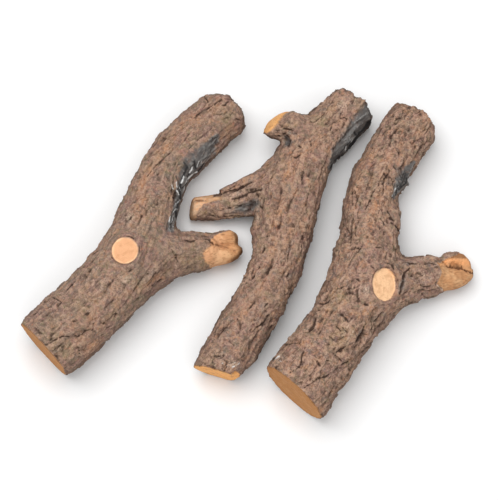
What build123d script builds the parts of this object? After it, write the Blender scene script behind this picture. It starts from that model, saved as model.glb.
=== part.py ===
from build123d import *
import math
import os

os.makedirs("parts", exist_ok=True)

# Gas log set: three loose refractory logs, each one a casting with its cast-in
# steel reinforcement. Millimetres. +X to the right, +Y away from the viewer,
# +Z up, z = 0 is the surface that the logs lie on. Every log is described by
# the line of its trunk and of its side branches, as stations of
# (x, y, height of the centre, radius).

# ---------------------------------------------------------------- dimensions
ORIGIN_X = -3.25             # middle of the whole set, in the layout's numbers
ORIGIN_Y = 0.45

LEFT_TRUNK = [
    (-254.6, -134.0, 41.0, 42.0), (-243.5, -123.0, 41.0, 42.7), (-209.2, -88.6, 42.5, 43.8),
    (-172.5, -48.9, 43.0, 43.1), (-140.4, -7.0, 42.5, 41.8), (-126.8, 35.6, 39.0, 36.7),
    (-116.2, 70.3, 36.0, 33.4), (-102.6, 104.4, 34.0, 32.8), (-79.2, 133.7, 33.0, 33.4),
    (-53.4, 159.9, 31.5, 32.3), (-35.4, 175.0, 30.5, 30.5), (-24.3, 183.5, 30.0, 24.9),
    (-18.9, 187.9, 30.0, 16.2),
]
LEFT_BRANCH = [
    (-141.0, -17.7, 40.0, 29.2), (-118.1, -10.3, 38.0, 32.3), (-96.4, -5.2, 34.0, 30.3),
    (-73.5, -0.3, 28.5, 25.8), (-55.1, 1.5, 24.5, 23.5), (-36.8, 3.7, 21.2, 22.4),
    (-22.7, 5.3, 18.6, 18.8), (-14.0, 6.1, 17.5, 11.7),
]
CENTRE_TRUNK = [
    (-50.3, -170.8, 28.2, 28.6), (-38.9, -151.1, 28.5, 28.9), (-22.9, -123.9, 31.0, 32.1),
    (-11.5, -100.8, 33.0, 32.6), (10.7, -64.5, 35.0, 32.5), (32.6, -16.3, 36.0, 33.5),
    (40.7, 31.1, 37.0, 37.1), (52.6, 76.1, 36.0, 36.2), (66.7, 115.9, 34.0, 35.2),
    (95.2, 150.3, 31.5, 32.9), (116.8, 175.8, 30.0, 31.8), (127.6, 185.6, 30.0, 29.4),
    (133.5, 191.0, 30.0, 22.4),
]
CENTRE_BRANCH = [
    (65.2, 93.7, 37.0, 34.5), (41.8, 84.2, 34.5, 30.1), (17.2, 74.4, 29.5, 25.9),
    (-7.4, 66.8, 23.8, 22.0), (-28.9, 62.5, 19.7, 19.0), (-43.2, 60.1, 17.0, 15.8),
    (-54.4, 58.3, 15.2, 15.0), (-69.9, 56.2, 13.6, 14.5),
]
CENTRE_STUB = [
    (89.0, 138.6, 36.0, 19.2), (64.2, 147.4, 43.0, 19.0), (37.0, 156.9, 51.0, 18.7),
    (14.8, 164.9, 57.0, 18.5),
]
RIGHT_TRUNK = [
    (43.5, -193.0, 43.0, 44.1), (54.4, -177.2, 43.0, 44.2), (84.0, -136.0, 43.5, 42.6),
    (117.8, -90.4, 43.0, 39.3), (135.0, -46.0, 43.0, 40.9), (141.8, -1.6, 41.0, 39.7),
    (147.1, 43.5, 38.0, 35.5), (157.6, 88.8, 34.5, 32.2), (177.4, 125.4, 32.0, 31.9),
    (193.6, 151.5, 31.0, 32.0), (203.9, 164.1, 30.0, 29.8), (209.8, 171.8, 29.5, 24.8),
    (213.2, 176.4, 29.5, 16.8),
]
RIGHT_BRANCH = [
    (141.6, -56.7, 41.0, 31.5), (162.5, -47.9, 38.0, 33.4), (181.1, -41.0, 34.0, 30.1),
    (200.6, -34.0, 30.0, 26.8), (219.7, -29.3, 26.5, 25.1), (239.5, -24.9, 23.5, 23.2),
    (257.6, -21.5, 20.5, 20.6), (268.1, -20.8, 20.0, 12.9),
]

# Sawn knots, flush with the bark of the two forked logs:
# centre of the disc, tilt of its axis from +Z as (x, y) components, radius.
LEFT_KNOT = ((-149.4, -13.7, 84.3), (-0.17, -0.04), 17.2)
RIGHT_KNOT = ((159.9, -53.4, 75.0), (0.64, -0.10), 19.0)
KNOT_COLLAR = 5.5            # width of the swollen bark round a knot
KNOT_DEPTH = 26.0            # how far the knot's solid goes down into the trunk

# Sawn ends: a point on the cut and its outward normal.
LEFT_BUTT = ((-247.6, -125.9, 41.0), (-0.744, -0.664, -0.05))
CENTRE_BUTT = ((-36.7, -149.3, 29.0), (-0.14, -0.99, 0.01))
RIGHT_BUTT = ((53.9, -177.5, 43.0), (-0.673, -0.739, 0.04))
STUB_CUT = ((35.5, 157.6, 52.0), (-0.60, 0.72, 0.34))

OUT_OF_ROUND = 0.028         # how far a bark section leaves its circle, as a part of its radius
SECTION_STEP = 16.0          # distance between the sections that shape a log
ROD_D = 6.0                  # cast-in reinforcing rod
WIRE_D = 1.6                 # tie wire where two rods cross
ROD_GAP = 0.6                # refractory between two crossing rods
ROD_BEND = 70.0              # bend radius of the rods

# Rods: the corners of each bent rod's centre line.
LEFT_TRUNK_ROD = [(-228.0, -107.0, 42.0), (-168.0, -42.0, 41.0), (-116.0, 76.0, 36.0), (-48.0, 163.0, 32.0)]
LEFT_BRANCH_ROD = [(-176.0, -24.0, 48.3), (-100.0, -6.8, 41.8), (-34.0, 3.6, 23.5)]
CENTRE_TRUNK_ROD = [(-20.0, -120.0, 31.0), (32.0, -12.0, 32.0), (58.0, 92.0, 33.0), (118.0, 174.0, 31.0)]
CENTRE_BRANCH_ROD = [(70.0, 77.0, 42.3), (12.0, 67.0, 31.5), (-52.0, 57.2, 16.2)]
RIGHT_TRUNK_ROD = [(68.0, -157.0, 42.0), (118.0, -80.0, 41.0), (150.0, 70.0, 36.0), (200.0, 156.0, 32.0)]
RIGHT_BRANCH_ROD = [(106.0, -62.0, 48.5), (176.0, -45.0, 41.0), (250.0, -24.2, 23.0)]


# ------------------------------------------------------------------- helpers
def shift(p):
    return Vector(p[0] - ORIGIN_X, p[1] - ORIGIN_Y, p[2])


def smooth_stations(stations, step=SECTION_STEP):
    """The stations joined by a smooth line, and taken again about every step mm;
    the close stations of a rounded tip are kept as they are."""
    rows = [(p[0] - ORIGIN_X, p[1] - ORIGIN_Y, p[2], p[3]) for p in stations]
    first = tuple(2 * a - b for a, b in zip(rows[0], rows[1]))
    last = tuple(2 * a - b for a, b in zip(rows[-1], rows[-2]))
    rows = [first] + rows + [last]
    result = []
    for i in range(1, len(rows) - 2):
        gaps = [max(math.dist(rows[i + j - 1][:3], rows[i + j][:3]), 1e-6) ** 0.5 for j in range(3)]
        t0, t1 = 0.0, gaps[0]
        t2 = t1 + gaps[1]
        t3 = t2 + gaps[2]
        count = max(1, round(math.dist(rows[i][:3], rows[i + 1][:3]) / step))
        for k in range(count):
            t = t1 + (t2 - t1) * k / count
            point = []
            for p0, p1, p2, p3 in zip(rows[i - 1], rows[i], rows[i + 1], rows[i + 2]):
                a1 = (t1 - t) / (t1 - t0) * p0 + (t - t0) / (t1 - t0) * p1
                a2 = (t2 - t) / (t2 - t1) * p1 + (t - t1) / (t2 - t1) * p2
                a3 = (t3 - t) / (t3 - t2) * p2 + (t - t2) / (t3 - t2) * p3
                b1 = (t2 - t) / (t2 - t0) * a1 + (t - t0) / (t2 - t0) * a2
                b2 = (t3 - t) / (t3 - t1) * a2 + (t - t1) / (t3 - t1) * a3
                point.append((t2 - t) / (t2 - t1) * b1 + (t - t1) / (t2 - t1) * b2)
            result.append(tuple(point))
    result.append(rows[-2])
    return result


def bark_section(rows, i, phase, along_mm, upright=True):
    """Closed, slightly irregular section round one station. Its underside stays
    nearest to the nominal radius, so that the log sits where it should."""
    x, y, z, radius = rows[i]
    centre = Vector(x, y, z)
    before = Vector(*rows[max(i - 1, 0)][:3])
    after = Vector(*rows[min(i + 1, len(rows) - 1)][:3])
    along = (after - before).normalized()
    if upright:
        along = Vector(along.X, along.Y, 0).normalized()
    side = Vector(along.Y, -along.X, 0).normalized()
    up = side.cross(along)
    points = []
    count = 12
    for k in range(count):
        a = 2 * math.pi * k / count
        calm = 0.25 + 0.75 * (0.5 + 0.5 * math.sin(a))
        wave = (
            0.55 * math.cos(2 * a + phase + along_mm / 95)
            + 0.50 * math.cos(3 * a + 1.7 * phase - along_mm / 120)
            + 0.30 * math.cos(5 * a + 2.9 * phase + along_mm / 80)
        )
        r = radius * (1 + OUT_OF_ROUND * wave * calm)
        points.append(centre + side * (r * math.cos(a)) + up * (r * math.sin(a)))
    return Wire([Edge.make_spline(points, periodic=True)])


def limb(stations, phase, upright=True):
    rows = smooth_stations(stations)
    travelled = 0.0
    wires = []
    for i in range(len(rows)):
        if i:
            travelled += math.dist(rows[i][:3], rows[i - 1][:3])
        wires.append(bark_section(rows, i, phase, travelled, upright))
    return Solid.make_loft(wires, ruled=False)


def knot(spec):
    """A short swollen collar with the flat sawn disc on top of it."""
    (cx, cy, cz), (tx, ty), radius = spec
    axis = Vector(tx, ty, math.sqrt(1 - tx * tx - ty * ty))
    top = shift((cx, cy, cz))
    plane = Plane(origin=top - axis * KNOT_DEPTH, z_dir=axis)
    disc = plane * Cylinder(radius, KNOT_DEPTH, align=(Align.CENTER, Align.CENTER, Align.MIN))
    collar = plane * Cone(radius + KNOT_COLLAR + 5.0, radius + 0.6, KNOT_DEPTH - 1.0,
                          align=(Align.CENTER, Align.CENTER, Align.MIN))
    return disc + collar


def rod(corners, diameter):
    points = [shift(p) for p in corners]
    path = FilletPolyline(*points, radius=[ROD_BEND] * (len(points) - 2))
    profile = Plane(origin=path.position_at(0), z_dir=path.tangent_at(0)) * Circle(diameter / 2)
    return sweep(profile, path=path)


def segment_crossing(a0, a1, b0, b1):
    """Where two rod runs pass each other, seen from above: the middle of the
    crossing, and the two directions."""
    da, db = a1 - a0, b1 - b0
    det = da.X * db.Y - da.Y * db.X
    w = b0 - a0
    t = (w.X * db.Y - w.Y * db.X) / det
    s = (w.X * da.Y - w.Y * da.X) / det
    pa, pb = a0 + da * t, b0 + db * s
    return pa, pb, da.normalized(), db.normalized()


def tie_wire(trunk_rod, trunk_run, branch_rod, branch_run):
    """One closed loop of wire round both rods where they cross."""
    a = [shift(p) for p in trunk_rod]
    b = [shift(p) for p in branch_rod]
    pa, pb, da, db = segment_crossing(a[trunk_run], a[trunk_run + 1], b[branch_run], b[branch_run + 1])
    if da.dot(db) < 0:
        db = db * -1
    normal = da + db                             # lies between the two rods
    normal = Vector(normal.X, normal.Y, 0).normalized()
    half_angle = max(da.get_angle(normal), db.get_angle(normal))
    width = ROD_D / math.cos(math.radians(half_angle)) + 2 * 0.5 + WIRE_D
    height = abs(pb.Z - pa.Z) + ROD_D + 2 * 0.5 + WIRE_D
    middle = (pa + pb) * 0.5
    side = Vector(normal.Y, -normal.X, 0)
    plane = Plane(origin=middle, x_dir=side, z_dir=normal)
    outline = plane * RectangleRounded(width, height, 0.46 * width)
    path = outline.wires()[0]
    start = path.position_at(0)
    profile = Plane(origin=start, z_dir=path.tangent_at(0)) * Circle(WIRE_D / 2)
    print("rods cross", round((pb - pa).length - ROD_D, 2), "mm apart, angle",
          round(da.get_angle(db), 1))
    return sweep(profile, path=path)


def seat_cut(solid):
    """Everything below the surface that the log lies on is cut off flat."""
    slab = Pos(0, 0, -60) * Box(900, 900, 120)
    return solid - slab


def saw(solid, cut, width=160.0, depth=60.0):
    """Everything past a sawn end is taken off."""
    point, normal = cut
    plane = Plane(origin=shift(point), z_dir=Vector(*normal).normalized())
    return solid - plane * Box(width, width, depth, align=(Align.CENTER, Align.CENTER, Align.MIN))


def one_solid(shape, name):
    solids = shape.solids()
    assert len(solids) == 1, (name, len(solids))
    result = solids[0]
    result.label = name
    return result


def write(shape, name):
    shape.label = name
    export_step(shape, f"parts/{name}.step")


# ------------------------------------------------------------------ left log
left_trunk_rod = one_solid(rod(LEFT_TRUNK_ROD, ROD_D), "left_trunk_rod")
left_branch_rod = one_solid(rod(LEFT_BRANCH_ROD, ROD_D), "left_branch_rod")
left_tie_wire = one_solid(tie_wire(LEFT_TRUNK_ROD, 1, LEFT_BRANCH_ROD, 0), "left_tie_wire")
left_body = saw(limb(LEFT_TRUNK, 0.4), LEFT_BUTT) + limb(LEFT_BRANCH, 2.1) + knot(LEFT_KNOT)
left_body = seat_cut(left_body)
left_log_casting = one_solid(left_body - left_trunk_rod - left_branch_rod - left_tie_wire, "left_log_casting")

# ---------------------------------------------------------------- centre log
centre_trunk_rod = one_solid(rod(CENTRE_TRUNK_ROD, ROD_D), "centre_trunk_rod")
centre_branch_rod = one_solid(rod(CENTRE_BRANCH_ROD, ROD_D), "centre_branch_rod")
centre_tie_wire = one_solid(tie_wire(CENTRE_TRUNK_ROD, 1, CENTRE_BRANCH_ROD, 0), "centre_tie_wire")
centre_stub = saw(limb(CENTRE_STUB, 1.1, upright=False), STUB_CUT, 80.0, 50.0)
centre_body = saw(limb(CENTRE_TRUNK, 3.3), CENTRE_BUTT) + limb(CENTRE_BRANCH, 5.2) + centre_stub
centre_body = seat_cut(centre_body)
centre_log_casting = one_solid(centre_body - centre_trunk_rod - centre_branch_rod - centre_tie_wire, "centre_log_casting")

# ----------------------------------------------------------------- right log
right_trunk_rod = one_solid(rod(RIGHT_TRUNK_ROD, ROD_D), "right_trunk_rod")
right_branch_rod = one_solid(rod(RIGHT_BRANCH_ROD, ROD_D), "right_branch_rod")
right_tie_wire = one_solid(tie_wire(RIGHT_TRUNK_ROD, 1, RIGHT_BRANCH_ROD, 0), "right_tie_wire")
right_body = saw(limb(RIGHT_TRUNK, 4.6), RIGHT_BUTT) + limb(RIGHT_BRANCH, 0.9) + knot(RIGHT_KNOT)
right_body = seat_cut(right_body)
right_log_casting = one_solid(right_body - right_trunk_rod - right_branch_rod - right_tie_wire, "right_log_casting")

# --------------------------------------------------------------------- write
for part, name in (
    (left_log_casting, "left_log_casting"), (left_trunk_rod, "left_trunk_rod"),
    (left_branch_rod, "left_branch_rod"), (left_tie_wire, "left_tie_wire"),
    (centre_log_casting, "centre_log_casting"), (centre_trunk_rod, "centre_trunk_rod"),
    (centre_branch_rod, "centre_branch_rod"), (centre_tie_wire, "centre_tie_wire"),
    (right_log_casting, "right_log_casting"), (right_trunk_rod, "right_trunk_rod"),
    (right_branch_rod, "right_branch_rod"), (right_tie_wire, "right_tie_wire"),
):
    write(part, name)
    box = part.bounding_box()
    print(f"{name:22s} {box.min.X:8.1f} {box.max.X:8.1f} {box.min.Y:8.1f} {box.max.Y:8.1f} "
          f"{box.min.Z:6.1f} {box.max.Z:6.1f}  vol {part.volume / 1000:8.1f} cm3  valid {part.is_valid}")

low = [min(p.bounding_box().min.X for p in (left_log_casting, centre_log_casting, right_log_casting)),
       min(p.bounding_box().min.Y for p in (left_log_casting, centre_log_casting, right_log_casting))]
high = [max(p.bounding_box().max.X for p in (left_log_casting, centre_log_casting, right_log_casting)),
        max(p.bounding_box().max.Y for p in (left_log_casting, centre_log_casting, right_log_casting))]
print("middle of the set", (low[0] + high[0]) / 2, (low[1] + high[1]) / 2)
for name, casting in (("left", left_log_casting), ("centre", centre_log_casting), ("right", right_log_casting)):
    for face in casting.faces():
        if face.geom_type == GeomType.PLANE and abs(face.normal_at().Z + 1) < 1e-4:
            c = face.center()
            print("seat", name, round(c.X, 1), round(c.Y, 1), round(c.Z, 3), "area", round(face.area))
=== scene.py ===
import math
import bpy
import numpy as np
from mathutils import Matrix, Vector


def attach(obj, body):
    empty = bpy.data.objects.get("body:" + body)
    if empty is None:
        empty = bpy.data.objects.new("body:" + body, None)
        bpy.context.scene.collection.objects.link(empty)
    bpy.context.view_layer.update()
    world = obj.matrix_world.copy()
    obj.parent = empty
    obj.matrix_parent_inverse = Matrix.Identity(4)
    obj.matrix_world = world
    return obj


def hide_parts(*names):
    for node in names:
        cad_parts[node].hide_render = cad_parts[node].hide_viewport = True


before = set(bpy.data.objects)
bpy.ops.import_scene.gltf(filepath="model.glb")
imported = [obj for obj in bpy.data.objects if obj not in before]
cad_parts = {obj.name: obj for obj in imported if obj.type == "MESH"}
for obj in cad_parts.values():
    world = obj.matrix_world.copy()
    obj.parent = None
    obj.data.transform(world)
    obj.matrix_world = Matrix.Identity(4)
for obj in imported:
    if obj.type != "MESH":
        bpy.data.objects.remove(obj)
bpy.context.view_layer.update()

# Everything below is worked out in millimetres in the layout's own numbers and
# moved to the frame's origin at the end. Each log is a signed distance field of
# its limbs, meshed, and then given its bark in grain coordinates: the distance
# along the limb and the place round it.
ORIGIN = np.array([-3.25, 0.45, 0.0])
VOXEL = 1.38

LEFT_TRUNK = [
    (-254.6, -134.0, 41.0, 42.0), (-243.5, -123.0, 41.0, 42.7), (-209.2, -88.6, 42.5, 43.8),
    (-171.2, -50.2, 43.0, 43.1), (-140.0, -7.0, 42.5, 41.8), (-126.8, 35.6, 39.0, 35.8),
    (-116.2, 70.3, 36.0, 32.6), (-101.8, 103.6, 34.0, 32.2), (-78.2, 132.7, 33.0, 34.0),
    (-53.2, 158.2, 31.8, 33.4), (-38.4, 172.0, 31.0, 33.0), (-23.0, 184.4, 30.6, 31.0),
]
LEFT_BRANCH = [
    (-141.0, -17.7, 40.0, 29.2), (-118.1, -10.3, 38.0, 31.8), (-96.4, -5.2, 34.0, 29.6),
    (-73.5, -0.3, 28.5, 25.8), (-58.0, 1.2, 24.5, 23.2), (-49.0, 2.0, 18.0, 18.6),
    (-41.0, 2.8, 14.0, 15.2), (-30.0, 3.6, 12.0, 13.0), (-19.0, 4.6, 11.0, 10.5),
]
CENTRE_TRUNK = [
    (-52.3, -174.8, 28.4, 30.4), (-39.0, -153.5, 28.8, 30.6), (-22.5, -124.3, 31.0, 31.6),
    (-10.4, -101.4, 32.5, 31.0), (11.6, -64.9, 34.0, 30.6), (32.8, -16.3, 35.5, 31.8),
    (41.6, 31.1, 36.5, 36.8), (53.6, 76.1, 36.0, 37.6), (67.1, 115.5, 34.0, 35.2),
    (96.2, 149.5, 31.5, 32.0), (118.6, 174.8, 30.0, 31.4), (135.6, 191.5, 30.0, 30.5),
]
CENTRE_BRANCH = [
    (62.0, 92.6, 35.0, 24.0), (41.8, 84.2, 34.5, 28.4), (19.5, 73.0, 29.0, 24.2),
    (0.5, 65.8, 25.0, 19.6), (-14.5, 62.0, 22.2, 17.2), (-28.9, 60.4, 19.7, 16.0),
    (-43.2, 59.8, 17.0, 15.8), (-54.4, 59.0, 15.9, 15.7), (-68.0, 57.8, 15.2, 15.3), (-76.0, 57.0, 14.6, 14.4),
]
CENTRE_STUB = [
    (84.0, 140.2, 38.0, 17.0), (64.2, 147.4, 43.0, 19.2), (37.0, 156.9, 51.0, 18.9),
    (14.8, 164.9, 57.0, 18.5),
]
RIGHT_TRUNK = [
    (42.7, -192.4, 43.0, 44.9), (53.6, -176.6, 43.0, 44.9), (83.4, -135.6, 43.5, 42.6),
    (115.6, -90.0, 43.0, 41.2), (134.0, -46.0, 43.0, 41.4), (143.2, -1.6, 41.0, 37.8),
    (147.8, 43.5, 38.0, 34.4), (158.1, 88.2, 34.5, 32.4), (178.8, 124.0, 32.2, 33.4),
    (195.4, 149.4, 31.4, 34.0), (206.0, 162.4, 30.8, 32.8), (215.0, 175.0, 30.0, 30.5),
]
RIGHT_BRANCH = [
    (141.6, -56.7, 41.0, 31.5), (162.5, -47.9, 38.0, 32.8), (181.1, -41.0, 34.0, 29.4),
    (200.6, -34.0, 30.0, 26.8), (216.0, -30.3, 26.5, 24.8), (226.0, -28.4, 21.5, 20.6),
    (234.0, -26.6, 16.5, 16.8), (244.0, -24.4, 13.0, 14.2), (256.0, -22.4, 12.0, 12.4), (263.0, -21.8, 11.0, 10.5),
]

# ------------------------------------------------------------------- the view
# The photograph looks down on the logs at 75 degrees from far away. The same
# numbers place the listed marks on the bark by where they are in its frame.
ELEVATION = math.radians(75.0)
DISTANCE = 2600.0
PIXEL = 1.22
FORWARD = np.array([0.0, math.cos(ELEVATION), -math.sin(ELEVATION)])
UP = np.array([0.0, math.sin(ELEVATION), math.cos(ELEVATION)])
RIGHT = np.array([1.0, 0.0, 0.0])
TARGET = np.array([0.0, 0.0, 35.0])
EYE = TARGET - FORWARD * DISTANCE
HALF = 250.0 * PIXEL / DISTANCE


def at(u, v, z):
    """The place in the layout that shows at (u, v) of the 500 by 500 frame, at a height."""
    ray = FORWARD + RIGHT * ((u - 250.0) / 250.0 * HALF) + UP * ((250.0 - v) / 250.0 * HALF)
    return EYE + ray * ((z - EYE[2]) / ray[2])


def seen_at(points):
    rel = points - EYE
    depth = rel @ FORWARD
    return (250.0 + (rel @ RIGHT) / depth / HALF * 250.0,
            250.0 - (rel @ UP) / depth / HALF * 250.0)


def rail(rows):
    """Stations given as (u, v, half width in the frame, height)."""
    out = []
    for u, v, half, z in rows:
        p = at(u, v, z)
        out.append((p[0], p[1], z, half * PIXEL))
    return out


# ---------------------------------------------------------------------- noise
def _hash(ix, iy, iz, seed):
    h = (ix.astype(np.int64) * 73856093) ^ (iy.astype(np.int64) * 19349663) ^ (iz.astype(np.int64) * 83492791)
    h = (h ^ (seed * 2654435761)) & 0xFFFFFFFF
    h = ((h ^ (h >> 15)) * 2246822519) & 0xFFFFFFFF
    h = ((h ^ (h >> 13)) * 3266489917) & 0xFFFFFFFF
    return h ^ (h >> 16)


_rng = np.random.default_rng(11)
_dirs = _rng.normal(size=(1024, 3))
_dirs /= np.linalg.norm(_dirs, axis=1, keepdims=True)


def noise(p, seed=0):
    """Gradient noise, about -1 to 1."""
    p = np.asarray(p, np.float64)
    base = np.floor(p)
    f = p - base
    base = base.astype(np.int64)
    w = f * f * f * (f * (f * 6 - 15) + 10)
    total = np.zeros(len(p))
    for dx in (0, 1):
        wx = w[:, 0] if dx else 1 - w[:, 0]
        for dy in (0, 1):
            wy = w[:, 1] if dy else 1 - w[:, 1]
            for dz in (0, 1):
                wz = w[:, 2] if dz else 1 - w[:, 2]
                g = _dirs[_hash(base[:, 0] + dx, base[:, 1] + dy, base[:, 2] + dz, seed) & 1023]
                total += wx * wy * wz * (g[:, 0] * (f[:, 0] - dx) + g[:, 1] * (f[:, 1] - dy) + g[:, 2] * (f[:, 2] - dz))
    return total * 1.75


def fbm(p, octaves, seed=0, gain=0.5):
    total = np.zeros(len(p))
    amp, norm = 1.0, 0.0
    for k in range(octaves):
        total += amp * noise(p * (2.03 ** k) + 17.3 * k, seed + 31 * k)
        norm += amp
        amp *= gain
    return total / norm


def cells(p, seed=0):
    """Distance to the nearest and to the second of one scattered point a cell, and the nearest one's number from 0 to 1."""
    base = np.floor(p).astype(np.int64)
    best = np.full(len(p), 9.0)
    second = np.full(len(p), 9.0)
    mark = np.zeros(len(p))
    for dx in (-1, 0, 1):
        for dy in (-1, 0, 1):
            for dz in (-1, 0, 1):
                c = base + (dx, dy, dz)
                h = _hash(c[:, 0], c[:, 1], c[:, 2], seed)
                q = c + np.stack([(h & 255) / 255.0, ((h >> 8) & 255) / 255.0, ((h >> 16) & 255) / 255.0], 1)
                d = np.linalg.norm(p - q, axis=1)
                closer = d < best
                second = np.where(closer, best, np.minimum(second, d))
                mark = np.where(closer, ((h >> 20) & 1023) / 1023.0, mark)
                best = np.where(closer, d, best)
    return best, second, mark


def ramp(a, b, x):
    t = np.clip((x - a) / (b - a), 0.0, 1.0)
    return t * t * (3 - 2 * t)


# --------------------------------------------------------------------- fields
def dense(stations, step=5.0):
    """The stations joined by a smooth line, taken again about every step mm."""
    rows = [np.array(s, float) for s in stations]
    rows = [2 * rows[0] - rows[1]] + rows + [2 * rows[-1] - rows[-2]]
    out = []
    for i in range(1, len(rows) - 2):
        t = [0.0]
        for j in range(3):
            t.append(t[-1] + max(np.linalg.norm(rows[i + j][:3] - rows[i + j - 1][:3]), 1e-6) ** 0.5)
        n = max(1, int(round(np.linalg.norm(rows[i + 1][:3] - rows[i][:3]) / step)))
        for k in range(n):
            x = t[1] + (t[2] - t[1]) * k / n
            a1 = (t[1] - x) / (t[1] - t[0]) * rows[i - 1] + (x - t[0]) / (t[1] - t[0]) * rows[i]
            a2 = (t[2] - x) / (t[2] - t[1]) * rows[i] + (x - t[1]) / (t[2] - t[1]) * rows[i + 1]
            a3 = (t[3] - x) / (t[3] - t[2]) * rows[i + 1] + (x - t[2]) / (t[3] - t[2]) * rows[i + 2]
            b1 = (t[2] - x) / (t[2] - t[0]) * a1 + (x - t[0]) / (t[2] - t[0]) * a2
            b2 = (t[3] - x) / (t[3] - t[1]) * a2 + (x - t[1]) / (t[3] - t[1]) * a3
            out.append((t[2] - x) / (t[2] - t[1]) * b1 + (x - t[1]) / (t[2] - t[1]) * b2)
    out.append(rows[-2])
    return np.array(out)


def unit(v):
    v = np.asarray(v, float)
    return v / np.linalg.norm(v)


class Limb:
    """A round limb along its stations. Ends are planes (point, outward normal, how rounded the edge is)."""

    def __init__(self, name, stations, ends=(), blend=0.0, seed=0, step=5.0):
        self.name = name
        self.rows = dense(stations, step)
        self.ends = [(np.array(p, float), unit(n), k) for p, n, k in ends]
        self.blend = blend
        self.seed = seed
        along = np.zeros(len(self.rows))
        along[1:] = np.cumsum(np.linalg.norm(np.diff(self.rows[:, :3], axis=0), axis=1))
        self.along = along
        way = np.diff(self.rows[:, :3], axis=0)
        way /= np.linalg.norm(way, axis=1, keepdims=True)
        reach = max(1, int(round(16.0 / step)))
        turn = np.zeros_like(way)
        for i in range(len(way)):
            a, b = max(0, i - reach), min(len(way) - 1, i + reach)
            if b > a:
                turn[i] = (way[b] - way[a]) / (along[b] - along[a])
        self.turn = turn
        self.chord = unit(self.rows[-1, :3] - self.rows[0, :3])

    def field(self, grid):
        out = np.full(grid.shape, 60.0, np.float32)
        reach = 14.0
        for a, b in zip(self.rows[:-1], self.rows[1:]):
            r = max(a[3], b[3]) + reach
            low = np.minimum(a[:3], b[:3]) - r
            high = np.maximum(a[:3], b[:3]) + r
            i0, i1 = grid.span(low, high)
            if np.any(i1 <= i0):
                continue
            x = grid.x[i0[0]:i1[0], None, None]
            y = grid.y[None, i0[1]:i1[1], None]
            z = grid.z[None, None, i0[2]:i1[2]]
            ab = b[:3] - a[:3]
            ll = float(ab @ ab)
            t = ((x - a[0]) * ab[0] + (y - a[1]) * ab[1] + (z - a[2]) * ab[2]) / ll
            t = np.clip(t, 0.0, 1.0).astype(np.float32)
            d = np.sqrt((x - a[0] - t * ab[0]) ** 2 + (y - a[1] - t * ab[1]) ** 2 + (z - a[2] - t * ab[2]) ** 2)
            d = d - (a[3] + t * (b[3] - a[3]))
            view = out[i0[0]:i1[0], i0[1]:i1[1], i0[2]:i1[2]]
            np.minimum(view, d, out=view)
        for point, normal, k in self.ends:
            plane = ((grid.x[:, None, None] - point[0]) * normal[0]
                     + (grid.y[None, :, None] - point[1]) * normal[1]
                     + (grid.z[None, None, :] - point[2]) * normal[2]).astype(np.float32)
            out = smooth_max(out, plane, k)
        return out

    def coordinates(self, p):
        """Along, angle round, distance from the surface, radius and outward direction."""
        best = np.full(len(p), 1e9)
        along = np.zeros(len(p))
        radius = np.zeros(len(p))
        centre = np.zeros((len(p), 3))
        tangent = np.zeros((len(p), 3))
        stretch = np.ones(len(p))
        for i, (a, b) in enumerate(zip(self.rows[:-1], self.rows[1:])):
            ab = b[:3] - a[:3]
            length = np.linalg.norm(ab)
            raw = ((p - a[:3]) @ ab) / length ** 2
            low = -3.0 if i == 0 and self.name == "trunk" else 0.0
            high = 4.0 if i == len(self.rows) - 2 and self.ends else 1.0
            t = np.clip(raw, low, high)
            c = a[:3] + t[:, None] * ab
            r = a[3] + np.clip(t, 0, 1) * (b[3] - a[3])
            d = np.linalg.norm(p - c, axis=1) - r
            use = d < best
            best = np.where(use, d, best)
            along = np.where(use, self.along[i] + t * length, along)
            radius = np.where(use, r, radius)
            centre = np.where(use[:, None], c, centre)
            tangent = np.where(use[:, None], ab / length, tangent)
            stretch = np.where(use, 1.0 - (p - c) @ self.turn[i], stretch)
        side = np.stack([tangent[:, 1], -tangent[:, 0], np.zeros(len(p))], 1)
        side /= np.maximum(np.linalg.norm(side, axis=1, keepdims=True), 1e-9)
        up = np.cross(side, tangent)
        rel = p - centre
        angle = np.arctan2(np.sum(rel * up, 1), np.sum(rel * side, 1))
        out = rel - np.sum(rel * tangent, 1, keepdims=True) * tangent
        out /= np.maximum(np.linalg.norm(out, axis=1, keepdims=True), 1e-9)
        return along, angle, best, radius, out, stretch

    def bark(self, p, style, along, angle, radius, stretch):
        """The bark's noise, along the limb's own line, and along its chord where the
        inside of a bend would squeeze it."""
        q = np.stack([along, radius * np.cos(angle), radius * np.sin(angle)], 1)
        parts = [np.array(v) for v in bark(q, style, self.seed)]
        c = ramp(0.70, 0.35, stretch)
        use = c > 0.002
        if use.any():
            d = self.chord
            e = unit(np.cross(d, (0.0, 0.0, 1.0)))
            w = np.cross(d, e)
            flat = np.stack([p[use] @ d, p[use] @ e, p[use] @ w], 1)
            other = bark(flat, style, self.seed + 5000)
            for a, b in zip(parts, other):
                a[use] = a[use] * (1 - c[use]) + b * c[use]
        return parts


class Grid:
    def __init__(self, low, high, h):
        low, high = np.array(low, float), np.array(high, float)
        n = np.ceil((high - low) / h).astype(int) + 1
        self.h, self.low, self.shape = h, low, tuple(n)
        self.x, self.y, self.z = [(low[k] + h * np.arange(n[k])).astype(np.float32) for k in range(3)]

    def span(self, low, high):
        i0 = np.clip(np.floor((low - self.low) / self.h).astype(int), 0, self.shape)
        i1 = np.clip(np.ceil((high - self.low) / self.h).astype(int) + 1, 0, self.shape)
        return i0, i1


def smooth_min(a, b, k):
    if k <= 0:
        return np.minimum(a, b)
    h = np.maximum(k - np.abs(a - b), 0.0) / k
    return (np.minimum(a, b) - h * h * k * 0.25).astype(np.float32)


def smooth_max(a, b, k):
    return -smooth_min(-a, -b, k)


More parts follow.
